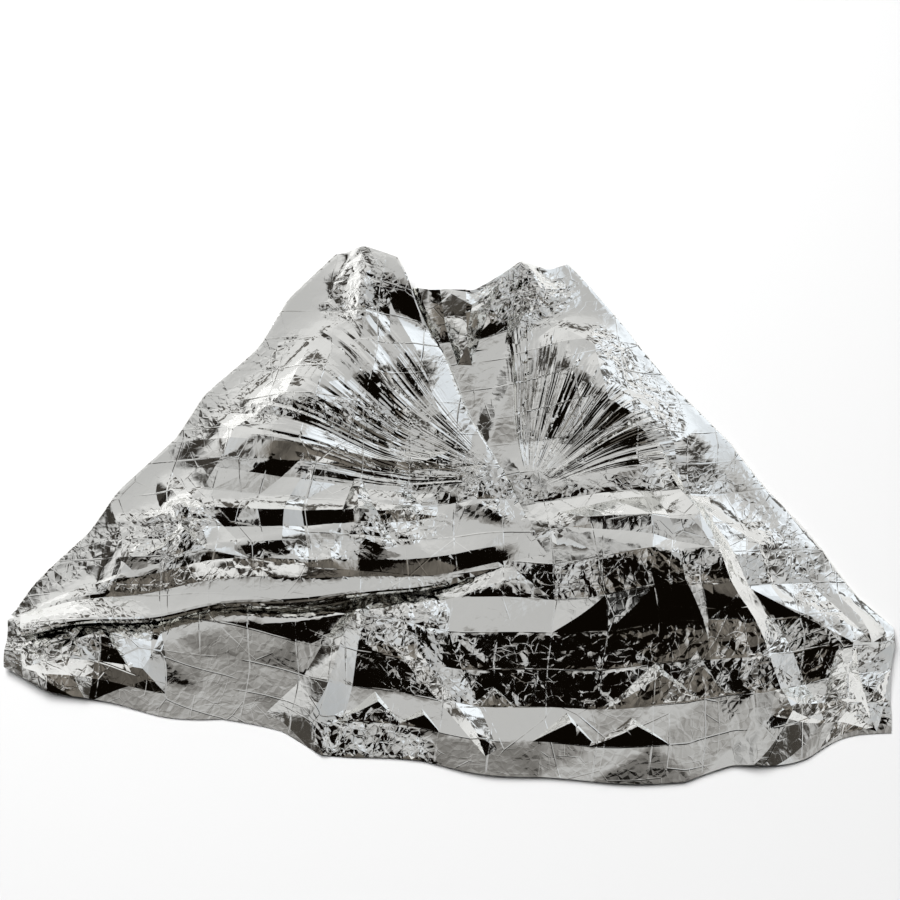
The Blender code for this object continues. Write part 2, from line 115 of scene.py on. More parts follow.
# %% Pleats
# A pleat's folded edge runs from the wing's tip to (to_x, to_y) on the edge of the flat cut, and the wedge of film
# beside it goes under: on the clockwise side for side 1, on the other side for side -1. The calm strip behind the edge
# is as wide as strip times the hidden wedge, and slopes by roof.
WING_TIP = np.array([0.22, -0.14])
Pleat = namedtuple("Pleat", "name to_x to_y wedge_deg side lift roof strip")
PLEATS = (
    Pleat("band", -0.20, WIDTH / 2, 11.5, 1, 0.030, 0.24, 1.5),
    Pleat("sweep", -LENGTH / 2, -0.36, 8.0, -1, 0.040, -0.32, 1.4),
)
WIDEST_STRIP, LEAST_STRIP = 0.065, 1e-6
CLIMB = 0.034  # over this distance behind the strip the film climbs back to its full relief
SHADE = 0.035  # over this distance past the folded edge the film below comes out to its full relief
STRIP_CALM, HIDDEN_CALM = 0.75, 0.92  # shares of the relief that the strip and the hidden film lose
UNDER_SHARE = 0.42  # how high the layer in the middle lies, as a share of the pleat's lift
GROWS, HIDES = (0.004, 0.045), (0.0, 0.02)  # widths of the wedge from which it stands up and hides relief
RUN_OUT = 0.13  # how much farther than the hidden wedge is wide the film comes down to the layer below
NOSE = 0.011  # how far from a folded edge the film has finished turning


def turning(distance):
    """A quarter circle: 0 at a folded edge, 1 where the film has finished turning."""
    return np.sqrt(1 - (1 - np.clip(distance / NOSE, 0, 1)) ** 2)


print(len(PLEATS), "pleats take up", sum(pleat.wedge_deg for pleat in PLEATS), "degrees about the tip of the wing")

# %% [markdown]
# Seen from the tip, a pleat is simple. The angles of its wedge go into two hidden layers, and all other angles are
# spread a little wider, so that the full circle is whole again. Distances from the tip shrink as much, so that the film
# isn't stretched. The second pleat is folded in the sheet that the first one has left.

# %% Folding the pleats
def fold_under(plan, pleat, edge, wedge):
    """Folds one pleat whose edge points along edge: new places, layer heights, shares of relief, and the spread."""
    across = turned_right(edge) * pleat.side
    spread = 2 * math.pi / (2 * math.pi - wedge)
    from_tip = plan - WING_TIP
    reach = np.hypot(from_tip[:, 0], from_tip[:, 1])
    angle = np.arctan2(from_tip @ across, from_tip @ edge)
    middle = (angle > 0) & (angle < wedge / 2)
    bottom = (angle >= wedge / 2) & (angle <= wedge)
    top = (angle <= 0) & (angle > -math.pi / 2)
    turned = spread * np.where(angle <= 0, angle, np.where(middle, -angle, angle - wedge))
    reach = reach / spread
    heading = (turned + wedge / 2)[:, None]
    laid = WING_TIP + reach[:, None] * (np.cos(heading) * edge + np.sin(heading) * across)

    width = reach * wedge / 2
    behind = np.abs(turned) * reach
    grown = smooth_step(*GROWS, width)
    over, under = pleat.lift * grown, UNDER_SHARE * pleat.lift * grown
    nose = (over + under) / 2
    strip = np.minimum(pleat.strip * width, WIDEST_STRIP) + LEAST_STRIP
    roof = pleat.roof * strip * np.interp(behind / strip, [0, 1, 3], [0, 1, 0])
    run_out = 1 - np.clip((behind - strip) / (width + RUN_OUT), 0, 1)
    top_height = (nose + (over - nose) * turning(behind)) * run_out + grown * roof
    to_far_edge = under / 2 * (1 + turning(width - behind))
    middle_height = np.where(behind < width / 2, nose - (nose - under) * turning(behind), to_far_edge)
    bottom_height = under / 2 * (1 - turning(width - behind))
    height = np.select([top, middle, bottom], [top_height, middle_height, bottom_height], 0.0)

    hidden = smooth_step(*HIDES, width)
    near_edge = 1 - np.clip((behind - strip) / CLIMB, 0, 1)
    past_edge = (angle > wedge) & (angle < wedge + math.pi / 2)
    in_shade = 1 - np.clip((angle - wedge) * reach / SHADE, 0, 1)
    share = np.select(
        [top, middle | bottom, past_edge],
        [1 - STRIP_CALM * near_edge * hidden, 1 - HIDDEN_CALM * hidden, 1 - HIDDEN_CALM * hidden * in_shade],
        1.0,
    )
    return laid, height, share, spread


def fold_pleats(points):
    """Where points of the flat cut lie once the pleats are folded, how high, and how much relief they show."""
    edge_ends = np.array([[pleat.to_x, pleat.to_y] for pleat in PLEATS])
    plan = np.vstack([points, edge_ends])
    height, relief, stretch = np.zeros(len(plan)), np.ones(len(plan)), 1.0
    for index, pleat in enumerate(PLEATS):
        edge = unit(plan[len(points) + index] - WING_TIP)
        wedge = stretch * math.radians(pleat.wedge_deg)
        plan, layer, share, spread = fold_under(plan, pleat, edge, wedge)
        height, relief, stretch = height + layer, relief * share, stretch * spread
    count = len(points)
    return plan[:count], height[:count], relief[:count]


print("the tip of the wing lies at", fold_pleats(WING_TIP[None, :])[0][0].round(3), "m")

# %% [markdown]
# ## The far corners
#
# A rectangle doesn't look like a cloak. Its two far corners are turned under, which gives the slanting sides of a bell.
# A turned-under corner is a mirror image of itself about the fold line, a few millimetres off the floor, and the film
# that lies over it rises by as much. Beside the fold the film comes down in a slope of flat facets. Its width changes
# from place to place, because an even slope would mirror the room as one long smear.

# %% Corners turned under
# A far corner is turned under along a line, given where it lies on the floor.
Corner = namedtuple("Corner", "name x0 y0 x1 y1 lift")
CORNERS = (
    Corner("left_corner", -0.27, 0.66, -1.00, -0.29, 0.012),
    Corner("right_corner", 0.26, 0.65, 1.03, -0.36, 0.012),
)
# How wide the slope beside a corner's fold is, at places along the fold.
SLOPE_RUN = (0.00, 0.12, 0.27, 0.40, 0.56, 0.70, 0.88, 1.04, 1.20)
SLOPE_WIDTH = (0.09, 0.15, 0.10, 0.17, 0.11, 0.17, 0.12, 0.17, 0.10)
SHADOW_RIM = 0.05  # over this distance outside the hidden corner the film above comes down again
HIDDEN_RELIEF = 0.05  # share of the relief that a turned-under corner keeps


def corner_frame(corner):
    """The start of a corner's fold line, its direction, and the direction that points out past it."""
    start = np.array([corner.x0, corner.y0])
    along = unit(np.array([corner.x1, corner.y1]) - start)
    outward = turned_right(along)
    return start, along, outward * np.sign(outward[1])


def corner_below(plan, off, corner, tip):
    """1 where the turned-under corner lies below a point, falling to 0 a little way outside it."""
    start, _, outward = corner_frame(corner)
    end = np.array([corner.x1, corner.y1])
    mirrored = plan - 2 * off[:, None] * outward
    inner = (start + tip + end) / 3
    margin = np.full(len(plan), 1.0)
    for a, b in ((start, tip), (tip, end)):
        normal = turned_right(unit(b - a))
        margin = np.minimum(margin, (mirrored - a) @ (normal * np.sign((inner - a) @ normal)))
    return smooth_step(-SHADOW_RIM, 0.0, margin)


def turn_corners(plan):
    """Turns both far corners under: new places, heights, shares of relief, of the rise, and which points are under."""
    height, share, rise = np.zeros(len(plan)), np.ones(len(plan)), np.ones(len(plan))
    under = np.zeros(len(plan), bool)
    tips = fold_pleats(np.array([[-LENGTH / 2, WIDTH / 2], [LENGTH / 2, WIDTH / 2]]))[0]
    laid = plan.copy()
    for corner, tip in zip(CORNERS, tips):
        start, along, outward = corner_frame(corner)
        off = (plan - start) @ outward
        past = off > 0
        laid -= 2 * np.maximum(off, 0)[:, None] * outward
        cover = corner_below(plan, off, corner, tip)
        turn = turning(np.abs(off))
        height += corner.lift / 2 * np.where(past, 1 - turn, cover * (1 + turn))
        slope_width = np.interp((plan - start) @ along, SLOPE_RUN, SLOPE_WIDTH)
        near = cover * (1 - np.clip(-off / slope_width, 0, 1))
        share *= np.where(past, HIDDEN_RELIEF, 1 - near)
        rise *= np.where(past, 0.0, 1 - near)
        under |= past
    return laid, height, share, rise, under


print("the folds of the far corners are", [round(math.dist(c[1:3], c[3:5]), 2) for c in CORNERS], "m long")

# %% [markdown]
# ## Broad rises
#
# Under the creases the sheet has forms as wide as an arm: two shoulders, a collar, a knee and the tails. They are
# mounds, placed in a short table. A smooth mound would mirror the room as a liquid does, so further down their height
# is read at the packet's crossings alone, and each panel stays flat. They give the long changes of tone that go over
# many small creases.

# %% Broad rises
# An oval is a place on the floor or on the flat cut, with half its length and half its width, and an amount.
Oval = namedtuple("Oval", "name x y along across turn_deg amount")
SWELLS = (  # the amount is the height
    Oval("left_shoulder", -0.36, 0.20, 0.44, 0.24, 42, 0.075),
    Oval("right_shoulder", 0.40, 0.26, 0.36, 0.22, -50, 0.070),
    Oval("collar", 0.00, 0.60, 0.30, 0.17, 0, 0.080),
    Oval("knee", 0.48, -0.16, 0.38, 0.24, -35, 0.070),
    Oval("wing", -0.42, -0.10, 0.46, 0.17, 12, 0.028),
    Oval("left_tail", -0.86, -0.36, 0.24, 0.16, 20, 0.050),
    Oval("right_tail", 0.88, -0.40, 0.22, 0.16, -35, 0.050),
)


def away_from(oval, x, y):
    """How far a place lies from the middle of an oval: 1 on its rim."""
    turn = math.radians(oval.turn_deg)
    along = (x - oval.x) * math.cos(turn) + (y - oval.y) * math.sin(turn)
    across = (y - oval.y) * math.cos(turn) - (x - oval.x) * math.sin(turn)
    return np.hypot(along / oval.along, across / oval.across)


def swell_height(x, y):
    """The broad rises, at a place on the floor."""
    total = np.zeros_like(x)
    for swell in SWELLS:
        total = total + swell.amount * (1 - smooth_step(0.0, 1.0, away_from(swell, x, y)))
    return total


print(len(SWELLS), "broad rises, the highest", round(1000 * max(swell.amount for swell in SWELLS)), "mm")

# %% [markdown]
# ## The creases of the packet
#
# Each crossing of the packet's creases has a height, and each panel is bent along one of its diagonals. That makes
# flat triangles that meet in straight lines, as on the real film. Most rows of crossings stand up and lie down by
# turns, as the packet was closed, and the rest is chance from a fixed seed. A table says where the rows stand, and
# elsewhere the sheet was pulled flat.

# %% Packet creases
STANDING = (
    Oval("knee", 0.36, -0.30, 0.80, 0.52, 0, 1.0),
    Oval("wing_low", -0.45, -0.22, 0.55, 0.18, 0, 0.55),
    Oval("left_tail", -0.95, -0.52, 0.26, 0.26, 0, 0.9),
    Oval("collar", 0.10, 0.64, 0.40, 0.12, 0, 0.5),
    Oval("right_side", 0.88, 0.00, 0.26, 0.40, 0, 0.7),
)
ROW_LINES = np.array([16, 8, 0, 17, 33, 24, 37, 26, 10, 22, 10, 22, 12, 22, 12, 20, 10]) / 1000  # from the near edge
packet_chance = np.random.default_rng(5)
CROSSING_CHANCE = packet_chance.uniform(-1, 1, (COLUMNS + 1, ROWS + 1))
DIAGONALS = packet_chance.integers(0, 2, (COLUMNS, ROWS))
FLAT_SHARE = 0.10  # of the height of the row lines where the sheet was pulled flat
FLAT_CHANCE, STANDING_CHANCE = 0.0013, 0.0050


def standing_share(x, y):
    """1 where the rows stand as a full zigzag, near 0 where the sheet was pulled flat."""
    share = np.zeros_like(x)
    for patch in STANDING:
        share = np.maximum(share, patch.amount * (1 - smooth_step(0.55, 1.0, away_from(patch, x, y))))
    return share


def all_crossings():
    """The column and the row of every crossing."""
    return np.meshgrid(np.arange(COLUMNS + 1), np.arange(ROWS + 1), indexing="ij")


def crossing_heights():
    """How high each crossing of the packet's creases stands."""
    column, row = all_crossings()
    share = standing_share(*crossing(column, row))
    crest = (FLAT_SHARE + (1 - FLAT_SHARE) * share) * ROW_LINES[row]
    chance = (FLAT_CHANCE + STANDING_CHANCE * share) * CROSSING_CHANCE
    return np.maximum(crest + chance + FLAT_CHANCE, 0)


def across_panels(x, y, heights):
    """Heights given at the crossings, carried over the panels, each bent along its diagonal."""
    column, row = (x + LENGTH / 2) / COLUMN, (y + WIDTH / 2) / ROW
    left = np.clip(np.floor(column).astype(int), 0, COLUMNS - 1)
    near = np.clip(np.floor(row).astype(int), 0, ROWS - 1)
    rightward, farther = column - left, row - near
    flipped = DIAGONALS[left, near] == 1
    start = np.where(flipped, left + 1, left)
    end = np.where(flipped, left, left + 1)
    across = np.where(flipped, 1 - rightward, rightward)
    near_start, near_end = heights[start, near], heights[end, near]
    far_start, far_end = heights[start, near + 1], heights[end, near + 1]
    below = near_start + across * (near_end - near_start) + farther * (far_end - near_end)
    above = near_start + farther * (far_start - near_start) + across * (far_end - far_start)
    return np.where(across > farther, below, above)


print("crossings stand up to", round(1000 * float(crossing_heights().max())), "mm")

# %% [markdown]
# ## Fans of pleats
#
# A hand that gathers film makes straight pleats that spread from it. Each fan is a list of directions, with crests and
# valleys by turns, and no two of the same width. They could be drawn in the finish alone, but pleats this broad show
# in the outline of a shoulder, so they are folds of the sheet. They run out before they reach a turned-under corner.

# %% Fans
# A fan is a set of pleats that spread from one point of the flat cut. steepness is rise over half a pleat's width.
Fan = namedtuple("Fan", "name x y from_deg to_deg pleats reach steepness")
FANS = (
    Fan("left_fan", 0.12, 0.04, 127, 178, 13, 0.90, 0.52),
    Fan("right_fan", 0.20, 0.03, 8, 88, 16, 0.78, 0.52),
)
HIGHEST_AT = 0.35  # pleats grow higher up to this distance from the hand


def fan_edges(fan):
    """The directions of a fan's folds in degrees, and how high each stands: 0 in a valley, up to 1 on a crest."""
    folds = 2 * fan.pleats
    steps = np.arange(folds + 1)
    crests = steps % 2
    uneven = steps + 0.30 * np.sin(2.4 * steps + fan.from_deg) + 0.42 * crests * np.sign(np.sin(1.3 * steps))
    uneven[0], uneven[-1] = 0, folds
    directions = fan.from_deg + (fan.to_deg - fan.from_deg) * uneven / folds
    return directions, crests * (0.70 + 0.30 * np.sin(3.7 * steps))


def clear_of_corners(x, y):
    """0 on the slopes beside the turned-under corners, where a fan has run out, and 1 away from them."""
    share = np.ones_like(x)
    for corner in CORNERS:
        start, _, outward = corner_frame(corner)
        off = (x - start[0]) * outward[0] + (y - start[1]) * outward[1]
        share = share * smooth_step(0.04, 0.16, -off)
    return share


def from_hand(fan, x, y):
    """How far a place lies from the point where a fan is gathered, and in which direction in degrees."""
    along, beside = x - fan.x, y - fan.y
    return np.hypot(along, beside), np.degrees(np.arctan2(beside, along)) % 360


def fan_relief(x, y, fan):
    """The height of one fan's pleats."""
    reach, angle = from_hand(fan, x, y)
    directions, crests = fan_edges(fan)
    half_pleat = math.radians(fan.to_deg - fan.from_deg) / (2 * fan.pleats)
    grows = smooth_step(0.02, 0.10, reach) * (1 - smooth_step(0.45 * fan.reach, fan.reach, reach))
    shape = np.interp(angle, directions, crests, left=0, right=0)
    return fan.steepness * half_pleat * np.minimum(reach, HIGHEST_AT) * grows * shape * clear_of_corners(x, y)


def gathered_share(x, y):
    """1 inside a fan of pleats, 0 outside."""
    share = np.zeros_like(x)
    for fan in FANS:
        reach, angle = from_hand(fan, x, y)
        inside = smooth_step(fan.from_deg - 4, fan.from_deg + 4, angle)
        inside = inside * (1 - smooth_step(fan.to_deg - 4, fan.to_deg + 4, angle))
        share = np.maximum(share, inside * (1 - smooth_step(0.5 * fan.reach, fan.reach, reach)))
    return share * clear_of_corners(x, y)


print("the fans have", " and ".join(str(fan.pleats) for fan in FANS), "pleats")

# %% [markdown]
# ## Ridges and tents
#
# Long folds that stand up on their own are roofs between two points. Where the sheet was pushed up from its hem it
# stands in pointed tents with three sides. Both are listed in two tables, because they are what the eye knows the sheet
# by.

# %% Ridges
# A ridge is a fold that stands up between two points of the flat cut. lean above 0 makes its near side steeper, and
# taper above 0 makes it widen towards its end.
Ridge = namedtuple("Ridge", "name x0 y0 x1 y1 half_width height lean taper")
RIDGES = (
    Ridge("wing_upper", -0.84, 0.14, -0.02, 0.10, 0.050, 0.016, 0.3, -0.7),
    Ridge("wing_middle", -0.98, -0.08, -0.04, -0.01, 0.070, 0.020, 0.4, -0.6),
    Ridge("wing_lower", -1.00, -0.28, -0.24, -0.13, 0.060, 0.010, -0.1, 0.8),
    Ridge("wing_cross_1", -0.86, 0.02, -0.78, -0.26, 0.050, 0.012, 0.2, 0.8),
    Ridge("wing_cross_2", -0.72, 0.06, -0.56, -0.22, 0.065, 0.016, -0.3, 0.8),
    Ridge("wing_cross_3", -0.36, 0.10, -0.44, -0.18, 0.065, 0.014, 0.3, 0.8),
    Ridge("wing_cross_4", -0.24, 0.06, -0.20, -0.14, 0.045, 0.012, 0.0, 0.8),
    Ridge("panel_edge", -0.20, -0.28, -0.33, -0.64, 0.050, 0.026, 0.0, 0.7),
    Ridge("panel_slope", -0.14, -0.28, 0.12, -0.60, 0.050, 0.020, 0.3, -0.7),
    Ridge("left_corner_long", -1.00, -0.60, -0.66, -0.54, 0.050, 0.020, 0.3, 0.5),
    Ridge("left_corner_short", -0.90, -0.64, -0.84, -0.46, 0.045, 0.022, 0.0, -0.6),
    Ridge("knee_long", 0.50, 0.12, 0.82, -0.62, 0.075, 0.036, -0.4, 0.6),
    Ridge("knee_outer", 0.74, 0.08, 1.00, -0.40, 0.065, 0.028, 0.3, -0.6),
    Ridge("knee_top", 0.26, -0.06, 0.62, -0.10, 0.050, 0.018, 0.2, 0.6),
    Ridge("right_corner_long", 0.74, -0.52, 1.03, -0.58, 0.055, 0.022, 0.2, 0.5),
    Ridge("right_corner_short", 0.94, -0.64, 0.92, -0.42, 0.045, 0.030, 0.0, -0.5),
    Ridge("collar_left", -0.30, 0.63, -0.24, 0.42, 0.065, 0.016, 0.0, -0.4),
    Ridge("collar_right", 0.14, 0.64, 0.10, 0.40, 0.045, 0.030, 0.2, -0.6),
    Ridge("collar_far_right", 0.32, 0.62, 0.22, 0.44, 0.045, 0.028, 0.0, -0.6),
)
ENDS = 1.1  # a ridge rises to its full height over this many half widths from each end


def ridge_width(ridge, run_share):
    """Half the width of a ridge at a share of the way along it."""
    return ridge.half_width * (1 + ridge.taper * (2 * run_share - 1))


def ridge_relief(x, y, ridge):
    """A roof-shaped fold that runs out to nothing at both ends."""
    start = np.array([ridge.x0, ridge.y0])
    along = np.array([ridge.x1, ridge.y1]) - start
    length = np.linalg.norm(along)
    along = along / length
    run = (x - start[0]) * along[0] + (y - start[1]) * along[1]
    off = (y - start[1]) * along[0] - (x - start[0]) * along[1]
    off = off * np.sign(along[0] + 1e-9)
    width = ridge_width(ridge, np.clip(run / length, 0, 1)) * np.where(off < 0, 1 - ridge.lean, 1 + ridge.lean)
    ends = np.minimum(run, length - run) / (ENDS * ridge.half_width)
    return ridge.height * np.clip(np.minimum(1 - np.abs(off) / width, ends), 0, 1)


print(len(RIDGES), "ridges, the highest", round(1000 * max(ridge.height for ridge in RIDGES)), "mm")

# %% [markdown]
# A tent has a flat foot with three corners and a top. Its height at any place is the least of three slopes, one from
# each side of the foot.

# %% Tents
# A tent is a point pushed up beyond a crossing of the packet, with a broad face towards the near edge.
Tent = namedtuple("Tent", "name column row half_width depth height")
TENTS = (
    Tent("hem_1", 7.6, 1, 0.075, 0.060, 0.016),
    Tent("hem_2", 8.6, 1, 0.050, 0.040, 0.012),
    Tent("hem_3", 10, 2, 0.050, 0.034, 0.011),
    Tent("hem_4", 11.4, 1, 0.070, 0.056, 0.018),
    Tent("hem_5", 13, 2, 0.105, 0.066, 0.026),
    Tent("hem_6", 13.8, 2, 0.075, 0.080, 0.026),
    Tent("hem_7", 12.6, 1, 0.085, 0.050, 0.016),
    Tent("tail_1", 1.0, 1, 0.080, 0.090, 0.034),
    Tent("tail_2", 1.9, 1, 0.090, 0.100, 0.036),
    Tent("tail_3", 0.6, 2, 0.060, 0.070, 0.026),
    Tent("wing_1", 3.2, 6, 0.080, 0.060, 0.022),
)


def tent_points(tent):
    """The corners of a tent's foot and its top, on the flat cut: left, right, far, top."""
    x, y = crossing(tent.column, tent.row)
    return (
        np.array([x - tent.half_width, y]),
        np.array([x + tent.half_width, y]),
        np.array([x, y + 1.25 * tent.depth]),
        np.array([x + 0.15 * tent.half_width, y + 0.80 * tent.depth]),
    )


def tent_relief(x, y, tent):
    """A three-sided point: the height falls in a straight line from its top to each side of its foot."""
    left, right, far, top = tent_points(tent)
    share = np.full_like(x, np.inf)
    for start, end in ((left, right), (right, far), (far, left)):
        inward = -turned_right(end - start)
        from_side = (x - start[0]) * inward[0] + (y - start[1]) * inward[1]
        share = np.minimum(share, from_side / ((top - start) @ inward))
    return tent.height * np.clip(share, 0, 1)


print(len(TENTS), "tents, the highest", round(1000 * max(tent.height for tent in TENTS)), "mm")

# %% [markdown]
# ## From the flat cut to the floor
#
# Relief belongs to the film, so it is read on the flat cut, and rises belong to what the film lies over, so they are
# read where a point has come to lie. A rise is carried flat over each panel, except where layers lie on each other,
# because there they have to keep their distance.

# %% Heights together
def relief_height(x, y):
    """Every crease, fan, ridge and tent of the flat cut together."""
    relief = across_panels(x, y, crossing_heights())
    for form, table in ((fan_relief, FANS), (ridge_relief, RIDGES), (tent_relief, TENTS)):
        for row in table:
            relief = relief + form(x, y, row)
    return np.maximum(relief, 0)


def faceted_rise(points, plan, share):
    """The broad rises, flat across each panel, but smooth where layers lie on each other."""
    column, row = all_crossings()
    crossings = np.column_stack([part.ravel() for part in crossing(column, row)])
    crossings_laid = fold_pleats(crossings)[0]
    heights = swell_height(*crossings_laid.T).reshape(column.shape)
    smooth = swell_height(*plan.T)
    return smooth + share * (across_panels(*points.T, heights) - smooth)


print("the relief of the middle of the cut is", round(1000 * float(relief_height(*np.zeros((2, 1)))[0]), 1), "mm")

# %% [markdown]
# The last step makes the outline uneven. The cut has straight edges, but its creases take up film, more in one place
# than in the next. Tables say how far each edge is drawn out or in, and slow waves go over the whole sheet.

# %% Laying a point
FILM = 0.0012  # the frame's thickness, which the finer film lies inside
TAKE_UP = 0.975  # how much shorter the creases make the sheet
CORNER_DRAW = 0.040  # how far the near corners are drawn in
CALMER_GATHERED = 0.8  # of the rises' facets are left out inside a fan
# How far the near edge, the slanting sides and the collar are drawn out (above 0) or in, at places along them.
NEAR_EDGE_X = (-1.05, -0.92, -0.76, -0.52, -0.38, -0.29, -0.05, 0.22, 0.52, 0.62, 0.80, 1.05)
NEAR_EDGE_OUT = (-0.010, 0.014, -0.010, -0.042, -0.026, 0.012, -0.006, 0.008, 0.034, 0.004, 0.010, -0.020)
SIDE_Y = (-0.45, -0.30, -0.17, -0.06, 0.08, 0.20, 0.34, 0.48, 0.60)
SIDE_OUT = (0.0, 0.009, -0.009, 0.008, -0.008, 0.011, -0.007, 0.009, 0.0)
COLLAR_X = (-0.36, -0.22, -0.06, 0.04, 0.16, 0.23, 0.30)
COLLAR_OUT = (0.0, 0.012, -0.055, -0.065, 0.014, -0.016, 0.0)


def uneven_outline(plan):
    """The outline wanders a little, the near edge bows towards -Y and the near corners are drawn in."""
    x, y = plan[:, 0], plan[:, 1]
    corner = smooth_step(0.62, 1.05, np.abs(x)) * smooth_step(0.25, 0.62, -y)
    drawn_in = CORNER_DRAW * corner * (1 + 0.25 * np.sin(17 * x + 11 * y))
    moved_x = x + 0.010 * wobble(x, y, 2.0) + 0.004 * np.sin(23 * y + 3 * x) - np.sign(x) * drawn_in
    moved_x = moved_x + np.sign(x) * np.interp(y + 0.09 * x, SIDE_Y, SIDE_OUT) * smooth_step(0.1, 0.4, np.abs(x))
    moved_y = y + 0.012 * wobble(y, x, 5.0) + 0.004 * np.sin(19 * x + 5 * y) - 0.020 * np.cos(2.4 * x)
    moved_y = moved_y + 1.2 * drawn_in
    moved_y = moved_y - np.interp(x, NEAR_EDGE_X, NEAR_EDGE_OUT) * smooth_step(0.32, 0.62, -y)
    moved_y = moved_y + np.interp(x, COLLAR_X, COLLAR_OUT) * smooth_step(0.34, 0.62, y)
    return TAKE_UP * np.column_stack([moved_x, moved_y])


def lay(points):
    """Carries points of the flat cut to where the underside of the sheet lies."""
    folded, pleat_height, share = fold_pleats(points)
    plan, corner_height, corner_share, rise, under = turn_corners(folded)
    relief = relief_height(points[:, 0], points[:, 1])
    flat_share = share * corner_share * (1 - CALMER_GATHERED * gathered_share(*points.T))
    lifted = rise * (pleat_height + faceted_rise(points, plan, flat_share))
    z = corner_height + lifted + share * corner_share * relief
    z = np.maximum(z, np.where(under, FILM, 0))
    return np.column_stack([uneven_outline(plan), z])


print("the middle of the cut comes to lie at", lay(np.zeros((1, 2)))[0].round(3), "m")

# %% [markdown]
# ## Where the film is crumpled
#
# Some panels are as calm as a mirror and some were crushed in a fist. A zone is an oval on the floor with an amount
# from 0 to 1. To these come a few rows of the panels at the knee, and the band beside the collar, which was pulled
# tight and has a low, even amount. The same number sets how close the points of the mesh lie, how deep the crumples
# are, and how dull the finish is. It falls to nothing on the packet's rows, which stay straight.

# %% Crumpled zones
ZONES = (
    Oval("collar_left", -0.20, 0.52, 0.15, 0.08, 50, 0.6),
    Oval("collar_right", 0.16, 0.52, 0.18, 0.10, -30, 0.8),
    Oval("left_shoulder_edge", -0.50, 0.26, 0.24, 0.05, 48, 0.4),
    Oval("right_shoulder_edge", 0.44, 0.28, 0.24, 0.05, -55, 0.5),
    Oval("clutch", 0.14, 0.00, 0.15, 0.07, -30, 0.9),
    Oval("wing_row", -0.32, 0.19, 0.22, 0.04, 0, 0.5),
    Oval("wing_crush", -0.62, -0.08, 0.12, 0.08, 20, 0.8),
    Oval("wing_side", -0.80, -0.13, 0.17, 0.05, 34, 0.4),
    Oval("wing_long", -0.46, -0.176, 0.42, 0.026, 10, 0.42),
    Oval("wing_fold", -0.12, -0.08, 0.15, 0.045, 10, 0.7),
    Oval("left_tail", -0.84, -0.34, 0.18, 0.10, 20, 0.35),
    Oval("knee_left", -0.10, -0.30, 0.10, 0.08, 0, 0.7),
    Oval("hem_left", -0.16, -0.56, 0.16, 0.07, 0, 0.7),
    Oval("right_tail", 0.86, -0.42, 0.18, 0.10, -30, 0.4),
    Oval("right_edge", 0.74, -0.12, 0.26, 0.05, -58, 0.5),
)
CRUMPLED_ROWS, CRUMPLED_ROW_AMOUNT = (2, 3, 5, 8), 0.42
LEAST_AMOUNT, BAND_AMOUNT = 0.05, 0.14


def beside_line(x, y, start, end, half_width):
    """1 on the line, falling to 0 at half_width beside it."""
    along = np.array(end) - start
    share = np.clip(((x - start[0]) * along[0] + (y - start[1]) * along[1]) / (along @ along), 0, 1)
    away = np.hypot(x - start[0] - share * along[0], y - start[1] - share * along[1])
    return 1 - smooth_step(0.5 * half_width, half_width, away)


def band_share(x, y):
    """1 on the smooth band beside the collar, from its places on the floor."""
    return beside_line(x, y, (-0.13, 0.62), (0.19, -0.07), 0.062)


def crumple_share(points, plan):
    """How crumpled the film is, 0 to 1, from its places on the flat cut and on the floor."""
    x, y = plan[:, 0], plan[:, 1]
    share = np.full(len(points), LEAST_AMOUNT)
    for zone in ZONES:
        away = away_from(zone, x, y) + 0.25 * wobble(4 * x, 4 * y, zone.amount)
        share = np.maximum(share, zone.amount * (1 - smooth_step(0.7, 1.05, away)))
    band = band_share(x, y)
    share = share * (1 - band) + BAND_AMOUNT * band
    rows_up = (points[:, 1] + WIDTH / 2) / ROW
    knee = smooth_step(-0.30, -0.10, x) * (1 - smooth_step(0.02, 0.10, y)) * (1 - smooth_step(0.66, 0.86, x))
    share = np.maximum(share, CRUMPLED_ROW_AMOUNT * knee * np.isin(np.floor(rows_up), CRUMPLED_ROWS))
    from_line = np.abs(rows_up - np.round(rows_up)) * ROW
    return share * smooth_step(-0.001, 0.007, from_line)


print(len(ZONES), "crumpled zones and", len(CRUMPLED_ROWS), "crumpled rows")

# %% [markdown]
# ## The crease pattern
#
# Film bends along lines and hardly anywhere else, so the mesh has to have an edge on every crease. All creases are
# drawn on the flat cut, points are strewn between them, close where the film is crumpled and wide where it is calm, and
# one triangulation joins them. A plain grid would need ten times the faces and would still cut across the creases.

# %% How close the points lie
SPACINGS = (0.0064, 0.0085, 0.0115, 0.0150, 0.0200)
RISING_AMOUNT = 0.55  # the points lie as close over a pleat as in a zone of this amount


def pleat_frame(pleat):
    """A pleat on the flat cut: the direction of its folded edge, the one across it, and the angle of its wedge."""
    edge = unit(np.array([pleat.to_x, pleat.to_y]) - WING_TIP)
    return edge, turned_right(edge) * pleat.side, math.radians(pleat.wedge_deg)


def beside_folds(points):
    """For each point, how far it lies from the nearest folded edge, and 1 where the film rises over a pleat."""
    away, rising = np.full(len(points), 1.0), np.zeros(len(points))
    for pleat in PLEATS:
        edge, across, wedge = pleat_frame(pleat)
        from_tip = points - WING_TIP
        reach = np.hypot(*from_tip.T)
        angle = np.arctan2(from_tip @ across, from_tip @ edge)
        for fold in (0, wedge / 2, wedge):
            away = np.minimum(away, np.where(np.abs(angle - fold) < 0.5, reach * np.abs(angle - fold), 1.0))
        behind, width = -angle * reach, reach * wedge / 2
        here = (behind > 0) & (behind < (pleat.strip + 1) * width + RUN_OUT) & (angle > -math.pi / 2)
        rising = np.maximum(rising, here * smooth_step(0.01, 0.03, width))
    return away, rising


